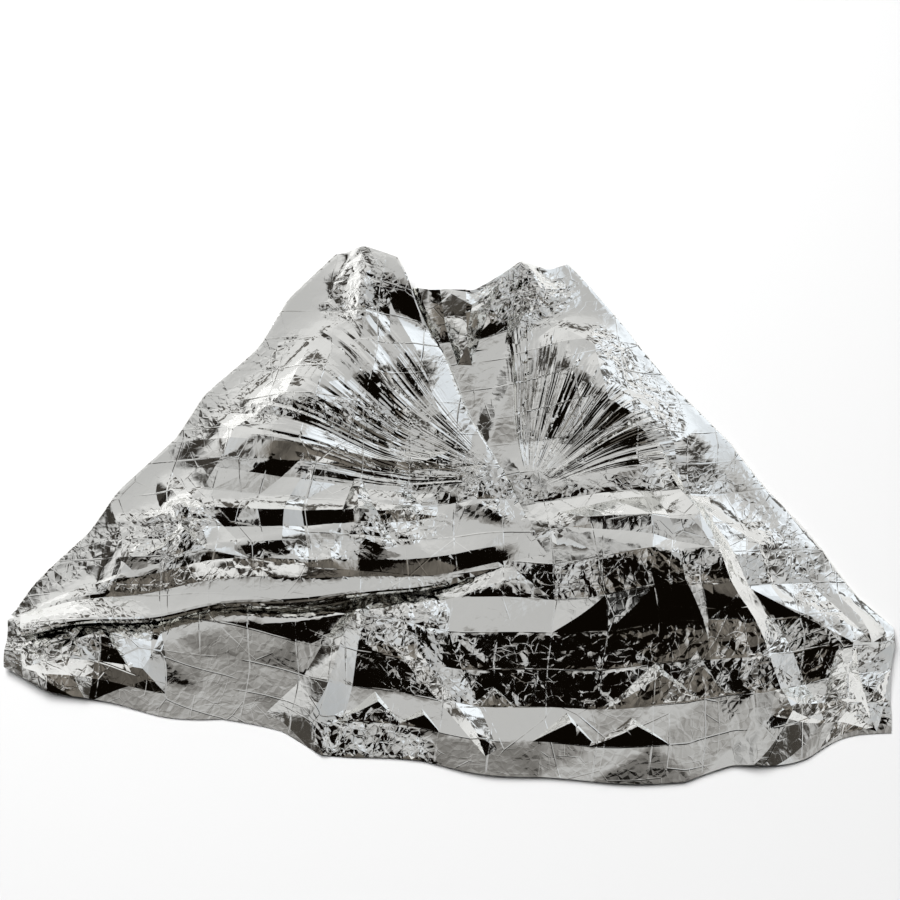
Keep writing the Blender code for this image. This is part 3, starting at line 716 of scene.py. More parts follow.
def spacing_at(points):
    """How far apart the points of the mesh lie."""
    plan, _, _, _, hidden = turn_corners(fold_pleats(points)[0])
    crumpled = crumple_share(points, uneven_outline(plan))
    crumpled = np.maximum(crumpled, RISING_AMOUNT * beside_folds(points)[1])
    return np.where(hidden, SPACINGS[-1], SPACINGS[-1] + (SPACINGS[0] - SPACINGS[-1]) * crumpled**0.5)


print(f"points lie {1000 * SPACINGS[0]:.1f} to {1000 * SPACINGS[-1]:.1f} mm apart")

# %% [markdown]
# A crease is drawn as a row of short pieces, so that long thin triangles don't form beside it. It is cut off at the
# outline first, because a point outside the cut would be a point of the sheet.

# %% Drawing a crease
PIECE = 0.012


class CreasePattern:
    """Points and lines of the flat cut, gathered for one triangulation."""

    def __init__(self):
        self.points = []
        self.lines = []

    def line(self, start, end, margin=0.0):
        """A straight crease, kept to the flat cut."""
        found = clip_to_cut(start, end, margin)
        if found is None:
            return
        start, end = found
        pieces = max(1, round(float(np.linalg.norm(end - start)) / PIECE))
        first = len(self.points)
        self.points += [start + (end - start) * k / pieces for k in range(pieces + 1)]
        self.lines += [(first + k, first + k + 1) for k in range(pieces)]

    def ray(self, start, heading):
        """A straight crease from a point to the edge of the flat cut."""
        self.line(start, start + 3 * heading)


def clip_to_cut(start, end, margin):
    """The part of a line that lies on the flat cut, or None."""
    start, end = np.array(start, float), np.array(end, float)
    low, high = 0.0, 1.0
    for axis, limit in ((0, LENGTH / 2 - margin), (1, WIDTH / 2 - margin)):
        step = end[axis] - start[axis]
        if abs(step) < 1e-9:
            if abs(start[axis]) > limit + 1e-9:
                return None
            continue
        first, last = sorted(((-limit - start[axis]) / step, (limit - start[axis]) / step))
        low, high = max(low, first), min(high, last)
    if low >= high:
        return None
    return start + low * (end - start), start + high * (end - start)


def draw_packet(pattern):
    """The outline, the packet's rows and columns, and the diagonal of each panel."""
    for row in range(ROWS + 1):
        pattern.line(crossing(0, row), crossing(COLUMNS, row))
    for column in range(COLUMNS + 1):
        pattern.line(crossing(column, 0), crossing(column, ROWS))
    for column in range(COLUMNS):
        for row in range(ROWS):
            flipped = DIAGONALS[column, row]
            pattern.line(crossing(column + flipped, row), crossing(column + 1 - flipped, row + 1))


pattern = CreasePattern()
draw_packet(pattern)
print("the packet's creases are drawn in", len(pattern.lines), "pieces")

# %% [markdown]
# The folded edges get most lines. Where film turns under it needs several within a centimetre, or the edge would be a
# row of corners. The calm strip, the climb and the shade beside it each end in a crease as well.

# %% Creases of the pleats
TURNS = (-1.0, -0.55, -0.22, 0.22, 0.55, 1.0)  # lines across a folded edge, as shares of its nose


def draw_pleats(pattern):
    """Each pleat's folded edges, the lines beside them where the film turns, and the creases behind them."""
    for pleat in PLEATS:
        edge, across, wedge = pleat_frame(pleat)

        def heading_at(share):
            """The direction of a line from the tip, at a share of the wedge."""
            return math.cos(share * wedge) * edge + math.sin(share * wedge) * across

        for share in (-1.5 * pleat.strip, -0.5 * pleat.strip, 0, 0.5, 1.0):
            heading = heading_at(share)
            pattern.ray(WING_TIP, heading)
            if share in (0, 0.5):
                for turn in TURNS:
                    pattern.ray(WING_TIP + 0.25 * heading + turn * NOSE * across, heading)
        for share, farther in (
            (-(pleat.strip + 1) / 2, RUN_OUT),
            (-pleat.strip / 2, CLIMB),
            (0, WIDEST_STRIP),
            (0, WIDEST_STRIP + CLIMB),
            (0, 3 * WIDEST_STRIP),
            (1.0, -SHADE),
        ):
            heading = heading_at(share)
            pattern.ray(WING_TIP + 0.10 * heading - farther * across, heading)


draw_pleats(pattern)
print("with those of the pleats there are", len(pattern.lines))

# %% [markdown]
# The corners are folded after the pleats, so their fold lines are straight on the floor and bent on the flat cut. To
# draw one there, each of its points is traced back: guess a place, see where it would come to lie, and move the guess
# by the error until it fits.

# %% Creases of the corners
LONGEST_STEP = 0.03  # a longer step between two traced points leaps over a pleat, and isn't drawn


def flat_places(targets):
    """The points of the flat cut that lie at places on the floor before the corners are turned."""
    guess = targets.copy()
    for _ in range(60):
        guess += targets - fold_pleats(guess)[0]
    return guess


def draw_corners(pattern):
    """Each corner's fold line, traced back to the flat cut, the lines beside it, and the facets of its slope."""
    for corner in CORNERS:
        start, along, outward = corner_frame(corner)
        length = math.hypot(corner.x1 - corner.x0, corner.y1 - corner.y0)
        steps = np.linspace(-0.04, 1.04, 90)[:, None] * length
        for aside in (-NOSE, -NOSE / 3, 0, NOSE / 3, NOSE):
            stops = flat_places(start + along * steps + outward * aside)
            for a, b in zip(stops, stops[1:]):
                if np.linalg.norm(b - a) < LONGEST_STEP:
                    pattern.line(a, b)
        on_fold = start + along * np.array(SLOPE_RUN)[:, None]
        feet = flat_places(on_fold - outward * np.array(SLOPE_WIDTH)[:, None])
        for fold, foot, next_foot in zip(flat_places(on_fold - outward * NOSE), feet, feet[1:]):
            pattern.line(fold, foot)
            pattern.line(foot, next_foot)


draw_corners(pattern)
print("with those of the corners there are", len(pattern.lines))

# %% [markdown]
# The folds that lie on the flat cut give their own lines: the crests and valleys of the fans, the roofs of the ridges
# with their feet, and the edges of the tents.

# %% Creases of the fans, ridges and tents
def draw_fans(pattern):
    """The crest and valley lines of each fan."""
    for fan in FANS:
        start = np.array([fan.x, fan.y])
        for direction in np.radians(fan_edges(fan)[0]):
            heading = np.array([math.cos(direction), math.sin(direction)])
            pattern.line(start + 0.06 * heading, start + fan.reach * heading, 0.004)


def draw_ridges(pattern):
    """The top line of each ridge and its foot on either side."""
    for ridge in RIDGES:
        start, end = np.array([ridge.x0, ridge.y0]), np.array([ridge.x1, ridge.y1])
        along = unit(end - start)
        left = -turned_right(along) * np.sign(along[0] + 1e-9)
        top = (start + ENDS * ridge.half_width * along, end - ENDS * ridge.half_width * along)
        pattern.line(*top)
        for side, lean in ((left, 1 + ridge.lean), (-left, 1 - ridge.lean)):
            feet = (start + side * ridge_width(ridge, 0) * lean, end + side * ridge_width(ridge, 1) * lean)
            for crease in (feet, (feet[0], top[0]), (feet[1], top[1]), (start, feet[0]), (end, feet[1])):
                pattern.line(*crease)


def draw_tents(pattern):
    """The three slanting edges of each tent and the three sides of its foot."""
    for tent in TENTS:
        left, right, far, top = tent_points(tent)
        for start, end in ((left, right), (right, far), (far, left)):
            pattern.line(start, end)
            pattern.line(start, top)


for draw in (draw_fans, draw_ridges, draw_tents):
    draw(pattern)
print("the whole pattern has", len(pattern.lines))

# %% [markdown]
# The points between the creases are strewn from a fixed seed. Five triangular lattices lie over each other, each point
# nudged by up to a third of its lattice, and a point stays only in the lattice whose spacing is wanted there.

# %% Triangulation
NUDGE = 0.33
MERGED_WITHIN = 0.0015  # points of the pattern closer than this become one


def strewn_points(random):
    """Points between the creases, as close as the film is crumpled there."""
    kept = []
    for level, spacing in enumerate(SPACINGS):
        rows = np.arange(-WIDTH / 2, WIDTH / 2, spacing * 0.87)
        columns = np.arange(-LENGTH / 2, LENGTH / 2, spacing)
        x, y = np.meshgrid(columns, rows)
        x = x + np.where(np.arange(len(rows)) % 2, spacing / 2, 0)[:, None]
        points = np.column_stack([x.ravel(), y.ravel()]) + random.uniform(-NUDGE, NUDGE, (x.size, 2)) * spacing
        inside = (np.abs(points) < np.array([LENGTH / 2, WIDTH / 2]) - 0.4 * spacing).all(axis=1)
        points = points[inside]
        points = points[beside_folds(points)[0] > NOSE + 0.3 * spacing]
        wanted = spacing_at(points)
        above = SPACINGS[level + 1] if level + 1 < len(SPACINGS) else 1.0
        kept.append(points[(wanted >= spacing) & (wanted < above)])
    return np.vstack(kept)


strewn = strewn_points(np.random.default_rng(11))
pattern_points = [Vector(point) for point in np.vstack([pattern.points, strewn])]
made = delaunay_2d_cdt(pattern_points, pattern.lines, [], 0, MERGED_WITHIN, False)
flat_points = np.array([point[:] for point in made[0]])
triangles = [tuple(face) for face in made[2]]
crease_edges = np.array([edge for edge, drawn in zip(made[1], made[4]) if drawn])
print(len(flat_points), "points and", len(triangles), "triangles on the flat cut")

# %% [markdown]
# ## The laid sheet
#
# Each point is carried to the floor, and the sheet is put in the middle of the frame's box. Four facts go with it as
# attributes: its place on the cut in metres, how crumpled it is, how much it belongs to a fan, and how much room it has
# for crumples. A turned-under corner has none, because crumples would push through the layer above.

# %% Laid sheet
laid = lay(flat_points)
places, _, pleat_shares = fold_pleats(flat_points)
places, _, corner_shares, _, turned_under = turn_corners(places)
crumpled = crumple_share(flat_points, uneven_outline(places))
box_low, box_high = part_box("foil_blanket")
middle = (laid[:, :2].max(axis=0) + laid[:, :2].min(axis=0)) / 2
laid[:, :2] += (np.array(box_low)[:2] + np.array(box_high)[:2]) / 2 - middle


def put_in_scene(name, data):
    """A new object with this data, in the scene."""
    made_object = bpy.data.objects.new(name, data)
    bpy.context.scene.collection.objects.link(made_object)
    return made_object


mesh = bpy.data.meshes.new("foil_sheet")
mesh.from_pydata([tuple(map(float, point)) for point in laid], [], triangles)
mesh.update()
sheet = put_in_scene("foil_sheet", mesh)


def add_attribute(name, kind, values):
    """A fact about each point of the sheet."""
    attribute = mesh.attributes.new(name, kind, "POINT")
    attribute.data.foreach_set("vector" if kind == "FLOAT_VECTOR" else "value", np.ravel(values).astype(np.float32))


add_attribute("cut_place", "FLOAT_VECTOR", np.column_stack([flat_points, np.zeros(len(flat_points))]))
add_attribute("crumpled", "FLOAT", crumpled)
add_attribute("gathered", "FLOAT", gathered_share(*flat_points.T) * (1 - band_share(*uneven_outline(places).T)))
add_attribute("room", "FLOAT", np.where(turned_under, 0, np.clip(pleat_shares * corner_shares, 0, 1)))
print("the laid sheet is", (laid.max(axis=0) - laid.min(axis=0)).round(3), "m")

# %% [markdown]
# ## Crumples
#
# Crushed film is made of flat facets that meet in sharp points and valleys. There is a short way to such a shape. Strew
# seeds over the film. At any point, take the square of the distance to the second nearest seed and subtract the square
# of the distance to the nearest. The result is a cut gem round each seed, with flat sides and straight edges. Two
# sizes of gem, one taken from the other, give points and hollows. A Geometry Nodes tree does this, because its sizes
# stay open as named inputs. The helpers come first. They serve the material's trees as well.

# %% Helpers for node trees
def feed(tree, socket, value):
    """Links a socket to this one, or sets its value."""
    if isinstance(value, bpy.types.NodeSocket):
        tree.links.new(value, socket)
    else:
        socket.default_value = value


def add_node(tree, kind, inputs=None, **settings):
    """A node with its settings made, and its inputs set or linked by name or number."""
    made_node = tree.nodes.new(kind)
    for name, value in settings.items():
        setattr(made_node, name, value)
    for key, value in (inputs or {}).items():
        feed(tree, made_node.inputs[key], value)
    return made_node


def reckon(tree, operation, *values):
    """A math node's result."""
    return add_node(tree, "ShaderNodeMath", dict(enumerate(values)), operation=operation).outputs[0]


def reckon_vector(tree, operation, *values):
    """A vector math node's result."""
    return add_node(tree, "ShaderNodeVectorMath", dict(enumerate(values)), operation=operation).outputs[0]


def map_range(tree, value, low, high, to_low=0.0, to_high=1.0):
    """A Map Range node's result: low becomes to_low, high becomes to_high, and the rest stays between them."""
    ends = {"From Min": low, "From Max": high, "To Min": to_low, "To Max": to_high}
    return add_node(tree, "ShaderNodeMapRange", {"Value": value, **ends}).outputs[0]


def noise(tree, place, scale, detail, output="Fac"):
    """A noise texture's result."""
    inputs = {"Vector": place, "Scale": scale, "Detail": detail}
    return add_node(tree, "ShaderNodeTexNoise", inputs).outputs[output]


def new_group(name, kind, inputs, outputs):
    """An empty node group with these sockets: (tree, its input node's outputs, its output node)."""
    tree = bpy.data.node_groups.new(name, kind)
    for socket_name, socket_kind, value in inputs:
        socket = tree.interface.new_socket(socket_name, in_out="INPUT", socket_type=socket_kind)
        if value is not None:
            socket.default_value = value
    for socket_name, socket_kind in outputs:
        tree.interface.new_socket(socket_name, in_out="OUTPUT", socket_type=socket_kind)
    return tree, tree.nodes.new("NodeGroupInput").outputs, tree.nodes.new("NodeGroupOutput")


def gem_height(tree, place, size, steepness):
    """The height of flat-sided gems of this size, in the unit of place."""
    scale = reckon(tree, "DIVIDE", 1.0, size)
    squares = []
    for feature in ("F2", "F1"):
        cells = add_node(
            tree, "ShaderNodeTexVoronoi", {"Vector": place, "Scale": scale}, feature=feature, voronoi_dimensions="2D"
        )
        squares.append(reckon(tree, "POWER", cells.outputs["Distance"], 2.0))
    gem = reckon(tree, "SUBTRACT", *squares)
    return reckon(tree, "MULTIPLY", gem, reckon(tree, "MULTIPLY", reckon(tree, "MULTIPLY", size, 0.5), steepness))


print("helpers for node trees are ready")

# %% [markdown]
# Plain gems are too alike, as the cells of a honeycomb are. Crushed film has shards: long facets that point this way
# and that. So the place is read through a slow swirl of noise, and along two slanting axes of unequal scale.

# %% Crumple tree
SHARD_AXES = ((0.90, 0.44, 0.0), (-0.26, 0.54, 0.0))  # the gems are drawn out into shards along the second axis
SWIRL = (0.07, 0.07, 0.0)  # a place moves by up to half of this either way, in metres
SEED_STEP = 7.31  # how far one seed's pattern lies from the next
FINE_SIZE, FINE_SHARE = 0.42, 0.6  # the hollows are smaller gems, and this much of their height is taken away


def crumple_tree():
    """Moves the sheet's points up and down in gems of two sizes, and keeps them off the floor."""
    tree, given, result = new_group(
        "foil crumple",
        "GeometryNodeTree",
        (
            ("Geometry", "NodeSocketGeometry", None),
            ("Facet Size", "NodeSocketFloat", 0.060),
            ("Steepness", "NodeSocketFloat", 0.30),
            ("Calm Steepness", "NodeSocketFloat", 0.02),
            ("Floor Gap", "NodeSocketFloat", 0.0006),
            ("Swirls", "NodeSocketFloat", 9.0),
            ("Seed", "NodeSocketFloat", 3.0),
            ("Finish", "NodeSocketMaterial", None),
        ),
        (("Geometry", "NodeSocketGeometry"),),
    )
    place, crumpled_there, room_there = (
        add_node(tree, "GeometryNodeInputNamedAttribute", {"Name": name}, data_type=kind).outputs[0]
        for name, kind in (("cut_place", "FLOAT_VECTOR"), ("crumpled", "FLOAT"), ("room", "FLOAT"))
    )
    moved = reckon_vector(tree, "ADD", place, reckon(tree, "MULTIPLY", given["Seed"], SEED_STEP))
    swirl = add_node(tree, "ShaderNodeTexNoise", {"Vector": moved, "Scale": given["Swirls"]}, noise_dimensions="2D")
    swirl = reckon_vector(tree, "SUBTRACT", swirl.outputs["Color"], (0.5, 0.5, 0.5))
    moved = reckon_vector(tree, "ADD", moved, reckon_vector(tree, "MULTIPLY", swirl, SWIRL))
    shards = (
        add_node(tree, "ShaderNodeVectorMath", {0: moved, 1: direction}, operation="DOT_PRODUCT").outputs["Value"]
        for direction in SHARD_AXES
    )
    moved = add_node(tree, "ShaderNodeCombineXYZ", dict(enumerate(shards))).outputs[0]
    small = reckon(tree, "MULTIPLY", given["Facet Size"], FINE_SIZE)
    points_up = gem_height(tree, moved, given["Facet Size"], given["Steepness"])
    points_down = gem_height(tree, reckon_vector(tree, "ADD", moved, (3.1, 5.7, 0)), small, given["Steepness"])
    gems = reckon(tree, "SUBTRACT", points_up, reckon(tree, "MULTIPLY", points_down, FINE_SHARE))
    calm_share = reckon(tree, "DIVIDE", given["Calm Steepness"], given["Steepness"])
    share = reckon(tree, "MAXIMUM", crumpled_there, calm_share)
    height = reckon(tree, "MULTIPLY", reckon(tree, "MULTIPLY", gems, share), room_there)

    normal = add_node(tree, "GeometryNodeInputNormal").outputs[0]
    offset = add_node(tree, "ShaderNodeVectorMath", {0: normal, "Scale": height}, operation="SCALE").outputs[0]
    raised = add_node(tree, "GeometryNodeSetPosition", {"Geometry": given["Geometry"], "Offset": offset}).outputs[0]
    where = add_node(tree, "ShaderNodeSeparateXYZ", {0: add_node(tree, "GeometryNodeInputPosition").outputs[0]})
    lifted = reckon(tree, "MAXIMUM", where.outputs["Z"], given["Floor Gap"])
    above_floor = {0: where.outputs["X"], 1: where.outputs["Y"], 2: lifted}
    above_floor = add_node(tree, "ShaderNodeCombineXYZ", above_floor).outputs[0]
    kept = add_node(tree, "GeometryNodeSetPosition", {"Geometry": raised, "Position": above_floor}).outputs[0]
    whole = add_node(tree, "GeometryNodeRealizeInstances", {"Geometry": kept}).outputs[0]
    finished = add_node(tree, "GeometryNodeSetMaterial", {"Geometry": whole, "Material": given["Finish"]})
    feed(tree, result.inputs[0], finished.outputs[0])
    return tree


crumples = crumple_tree()
print("the crumple tree has", len(crumples.nodes), "nodes")

# %% [markdown]
# A Geometry Nodes modifier keeps its inputs under the identifiers of the group's sockets, and not under their names, so
# a helper looks these up. All inputs are set before the sheet is first evaluated.

# %% Crumples at work
def set_input(modifier, name, value):
    """Sets a Geometry Nodes input by the identifier of its socket."""
    for item in modifier.node_group.interface.items_tree:
        if item.name == name and getattr(item, "in_out", "") == "INPUT":
            modifier[item.identifier] = value


foil = bpy.data.materials.new("silver_foil")
crumple = sheet.modifiers.new("crumple", "NODES")
crumple.node_group = crumples
for name, value in (
    ("Facet Size", 0.072),
    ("Steepness", 0.32),
    ("Calm Steepness", 0.016),
    ("Floor Gap", 0.0006),
    ("Swirls", 9.0),
    ("Seed", 3.0),
    ("Finish", foil),
):
    set_input(crumple, name, value)
print("the crumples are on", sheet.name)

# %% [markdown]
# ## One closed sheet
#
# The tree's result becomes a plain mesh. Creases sharper than a few degrees stay hard, and what is between them stays
# smooth, as on a bent mirror. Each corner of a face also gets its place on the cut as a map, which the finish reads.

# %% Hard creases
SHARP_FROM = math.radians(9)


def plain_mesh(name):
    """The sheet as its modifiers leave it, as a mesh of its own. The modifiers are taken off."""
    bpy.context.view_layer.update()
    finished = bpy.data.meshes.new_from_object(sheet.evaluated_get(bpy.context.evaluated_depsgraph_get()))
    finished.name = name
    sheet.modifiers.clear()
    sheet.data = finished
    return finished


def read_all(items, name, per_item=1, kind=np.float32):
    """One fact about every item of a mesh."""
    values = np.empty(len(items) * per_item, kind)
    items.foreach_get(name, values)
    return values.reshape(-1, per_item) if per_item > 1 else values


def edge_keys(pairs):
    """One number for each pair of points, whichever comes first."""
    pairs = np.sort(np.reshape(pairs, (-1, 2)), axis=1).astype(np.int64)
    return pairs[:, 0] * len(flat_points) + pairs[:, 1]


crumpled_mesh = plain_mesh("foil_crumpled")
crumpled_mesh.polygons.foreach_set("use_smooth", np.ones(len(crumpled_mesh.polygons), bool))
crumpled_mesh.set_sharp_from_angle(angle=SHARP_FROM)
edge_ends = read_all(crumpled_mesh.edges, "vertices", 2, np.int32)
is_sharp = read_all(crumpled_mesh.edges, "use_edge_sharp", kind=bool)
is_sharp |= np.isin(edge_keys(edge_ends), edge_keys(crease_edges))
crumpled_mesh.edges.foreach_set("use_edge_sharp", is_sharp)
print(int(is_sharp.sum()), "of", len(is_sharp), "edges are creases")

corner_points = read_all(crumpled_mesh.loops, "vertex_index", kind=np.int32)
cut_place = read_all(crumpled_mesh.attributes["cut_place"].data, "vector", 3)
in_metres = crumpled_mesh.uv_layers.new(name="cut_metres")
in_metres.uv.foreach_set("vector", cut_place[corner_points, :2].ravel())

# %% [markdown]
# Solidify gives the film its two sides and its rim. Real film is a hundredth of a millimetre thick, too thin to keep
# two sides apart in a renderer, so it gets a quarter of a millimetre. The rim alone is shaded flat.

# %% Two sides and a rim
one_side = len(crumpled_mesh.polygons)
thickness = sheet.modifiers.new("film", "SOLIDIFY")
thickness.thickness = 0.00025
thickness.offset = 1
closed_mesh = plain_mesh("foil_blanket_film")
is_smooth = np.arange(len(closed_mesh.polygons)) < 2 * one_side
closed_mesh.polygons.foreach_set("use_smooth", is_smooth)
print(len(closed_mesh.polygons), "faces in the closed sheet,", int((~is_smooth).sum()), "of them in its rim")

# %% [markdown]
# The map for baking the finish is a flat picture of the sheet, so that picture has to be the cut itself. Its upper
# half holds the upper side and its lower half the underside.

# %% Map for the finish
MARGIN = 0.01  # round the picture, as a share of its side
side_counts = read_all(closed_mesh.polygons, "loop_total", kind=np.int32)
face_of_loop = np.repeat(np.arange(len(side_counts)), side_counts)
underside = (face_of_loop >= one_side) & (face_of_loop < 2 * one_side)
baked = read_all(closed_mesh.uv_layers["cut_metres"].uv, "vector", 2) / (LENGTH, WIDTH) + 0.5
baked = MARGIN + (1 - 2 * MARGIN) * baked
baked[:, 1] = 0.5 * baked[:, 1] + np.where(underside, 0.0, 0.5)
closed_mesh.uv_layers.new(name="OFBake").uv.foreach_set("vector", baked.astype(np.float32).ravel())
closed_mesh.uv_layers["OFBake"].active = True
closed_mesh.uv_layers["OFBake"].active_render = True
print("the map holds", int(underside.sum()), "corners of the underside")

# %% [markdown]
# ## The finish
#
# Metallised film is a mirror. Its colour is the room's, so all its character is in which way each small facet faces.
# Facets finer than the mesh are drawn by one Bump node, which gets a height in metres. Four effects add up to that
# height, each a group with named inputs: the gems of the crumple again at a finer size, the thin welts where the packet
# was creased, stray creases, and the streaks that run along a gathered pleat.

# %% Gems of the finish
def shader_group(name, vectors, numbers, outputs=("Height",)):
    """An empty shader group with these vector inputs, number inputs with their values, and number outputs."""
    inputs = [(key, "NodeSocketVector", None) for key in vectors]
    inputs += [(key, "NodeSocketFloat", value) for key, value in numbers.items()]
    return new_group(name, "ShaderNodeTree", inputs, [(key, "NodeSocketFloat") for key in outputs])


def facet_group():
    """Flat-sided gems for a Bump node, in metres."""
    tree, given, result = shader_group("foil facets", ["Place"], {"Facet Size": 0.02, "Steepness": 0.3})
    coarse_height = gem_height(tree, given["Place"], given["Facet Size"], given["Steepness"])
    small = reckon(tree, "MULTIPLY", given["Facet Size"], 0.45)
    moved = reckon_vector(tree, "ADD", given["Place"], (2.3, 4.1, 0))
    fine_height = gem_height(tree, moved, small, given["Steepness"])
    feed(tree, result.inputs[0], reckon(tree, "SUBTRACT", coarse_height, fine_height))
    return tree


facets = facet_group()
print("the gems take", len(facets.nodes), "nodes")

# %% [markdown]
# A packet crease is not only a bend. The film has yielded along it and stands up as a welt about two millimetres wide,
# strong in one place and nearly gone in the next. A Ping Pong node folds the place on the cut back and forth, so that
# it is 0 on every line of the grid at once.

# %% Welts of the packet
def raised_line(tree, away, width):
    """1 on a line, falling to 0 at width beside it."""
    return reckon(tree, "MAXIMUM", reckon(tree, "SUBTRACT", 1.0, reckon(tree, "DIVIDE", away, width)), 0.0)


def welt_group():
    """Thin raised lines along the packet's rows and columns: a height in metres, and a mask of where they are."""
    numbers = {"Column": 0.1, "Row": 0.1, "Width": 0.002, "Height": 0.0003, "Half Length": 1.0, "Half Width": 1.0}
    tree, given, result = shader_group("packet welts", ["Place"], numbers, ("Height", "Mask"))
    drift = noise(tree, given["Place"], 9.0, 2.0)
    nudge = reckon(tree, "MULTIPLY", reckon(tree, "SUBTRACT", drift, 0.5), 0.004)
    strong = map_range(tree, noise(tree, given["Place"], 6.5, 1.0), 0.40, 0.62)
    axes = add_node(tree, "ShaderNodeSeparateXYZ", {0: given["Place"]})
    lines = []
    for axis, pitch in (("X", given["Column"]), ("Y", given["Row"])):
        place = reckon(tree, "ADD", axes.outputs[axis], nudge)
        away = reckon(tree, "PINGPONG", place, reckon(tree, "MULTIPLY", pitch, 0.5))
        lines.append(raised_line(tree, away, given["Width"]))
    mask = reckon(tree, "MULTIPLY", reckon(tree, "MAXIMUM", *lines), strong)
    for axis, half in (("X", given["Half Length"]), ("Y", given["Half Width"])):
        from_middle = reckon(tree, "ABSOLUTE", axes.outputs[axis])
        inside = reckon(tree, "LESS_THAN", from_middle, reckon(tree, "SUBTRACT", half, given["Width"]))
        mask = reckon(tree, "MULTIPLY", mask, inside)
    feed(tree, result.inputs["Height"], reckon(tree, "MULTIPLY", mask, given["Height"]))
    feed(tree, result.inputs["Mask"], mask)
    return tree


welts = welt_group()
print("the welts take", len(welts.nodes), "nodes")

# %% [markdown]
# Film also creases where nobody folded it, in straight lines between the points where it was pinched. The edges of a
# Voronoi pattern are such lines. Wide cells give the few long creases of a calm panel, smaller and fainter ones the
# short creases between them, and small stretched ones the net of wrinkles in a crushed place.

# %% Stray creases
def stray_group():
    """Straight raised lines that meet in points, as a height in metres."""
    numbers = {"Spacing": 0.15, "Width": 0.002, "Height": 0.0003, "Patchiness": 0.5}
    tree, given, result = shader_group("stray creases", ["Place"], numbers)
    inputs = {"Vector": given["Place"], "Scale": reckon(tree, "DIVIDE", 1.0, given["Spacing"])}
    settings = {"feature": "DISTANCE_TO_EDGE", "voronoi_dimensions": "2D"}
    cells = add_node(tree, "ShaderNodeTexVoronoi", inputs, **settings).outputs["Distance"]
    line = raised_line(tree, reckon(tree, "MULTIPLY", cells, given["Spacing"]), given["Width"])
    fades = noise(tree, given["Place"], reckon(tree, "DIVIDE", 0.6, given["Spacing"]), 2.0)
    strong = map_range(tree, fades, given["Patchiness"], reckon(tree, "ADD", given["Patchiness"], 0.12))
    mask = reckon(tree, "MULTIPLY", line, strong)
    feed(tree, result.inputs[0], reckon(tree, "MULTIPLY", mask, given["Height"]))
    return tree


strays = stray_group()
print("the stray creases take", len(strays.nodes), "nodes")

# %% [markdown]
# Pleats carry fine streaks of their own, and these run to the point where the film was gathered. Cells read on the
# direction from that point, and hardly on the distance, give them.

# %% Streaks of a fan
def streak_group():
    """Fine pleats that spread from a point, as a height in metres."""
    numbers = {"Streaks": 60.0, "Reach": 0.6, "Steepness": 0.3}
    tree, given, result = shader_group("gathered streaks", ["Place", "Gathered At"], numbers)
    out = reckon_vector(tree, "SUBTRACT", given["Place"], given["Gathered At"])
    axes = add_node(tree, "ShaderNodeSeparateXYZ", {0: out})
    direction = reckon(tree, "ARCTAN2", axes.outputs["Y"], axes.outputs["X"])
    ends = {0: given["Place"], 1: given["Gathered At"]}
    distance = add_node(tree, "ShaderNodeVectorMath", ends, operation="DISTANCE").outputs["Value"]
    across = reckon(tree, "MULTIPLY", direction, given["Streaks"])
    spread = add_node(tree, "ShaderNodeCombineXYZ", {0: across, 1: reckon(tree, "MULTIPLY", distance, 5.0)})
    folds = add_node(tree, "ShaderNodeTexVoronoi", {"Vector": spread.outputs[0], "Scale": 1.0}, voronoi_dimensions="2D")
    width = reckon(tree, "DIVIDE", distance, given["Streaks"])
    near = map_range(tree, distance, reckon(tree, "MULTIPLY", given["Reach"], 0.5), given["Reach"], 1.0, 0.0)
    height = reckon(tree, "MULTIPLY", folds.outputs["Distance"], reckon(tree, "MULTIPLY", width, given["Steepness"]))
    feed(tree, result.inputs[0], reckon(tree, "MULTIPLY", height, near))
    return tree


streaks = streak_group()
print("the streaks take", len(streaks.nodes), "nodes")

# %% [markdown]
# The material itself is short. The film is plain metal, a touch warm, because aluminium is. Even a calm panel is never
# quite flat, so a small share of the crumple stays everywhere.

# %% Silver foil
foil.use_nodes = True
tree = foil.node_tree
shader = tree.nodes["Principled BSDF"]
shader.inputs["Base Color"].default_value = (0.885, 0.885, 0.860, 1)
shader.inputs["Metallic"].default_value = 1.0
place = add_node(tree, "ShaderNodeUVMap", uv_map="cut_metres").outputs[0]
crumpled_there, gathered_there = (
    add_node(tree, "ShaderNodeAttribute", attribute_name=name).outputs["Fac"] for name in ("crumpled", "gathered")
)


def fill_group(group, **inputs):
    """Places a group in the foil's material with these inputs, and gives its results. _ stands for a blank."""
    made_node = tree.nodes.new("ShaderNodeGroup")
    made_node.node_tree = group
    for key, value in inputs.items():
        feed(tree, made_node.inputs[key.replace("_", " ")], value)
    return made_node.outputs


print("the foil's colour is", [round(part, 3) for part in shader.inputs["Base Color"].default_value[:3]])

# %% [markdown]
# Each group goes in with its own values, and all the creases add up to one height. The places of the wrinkles are
# swirled and stretched first, as those of the crumples were. Each fan's streaks show on its own side of the sheet.

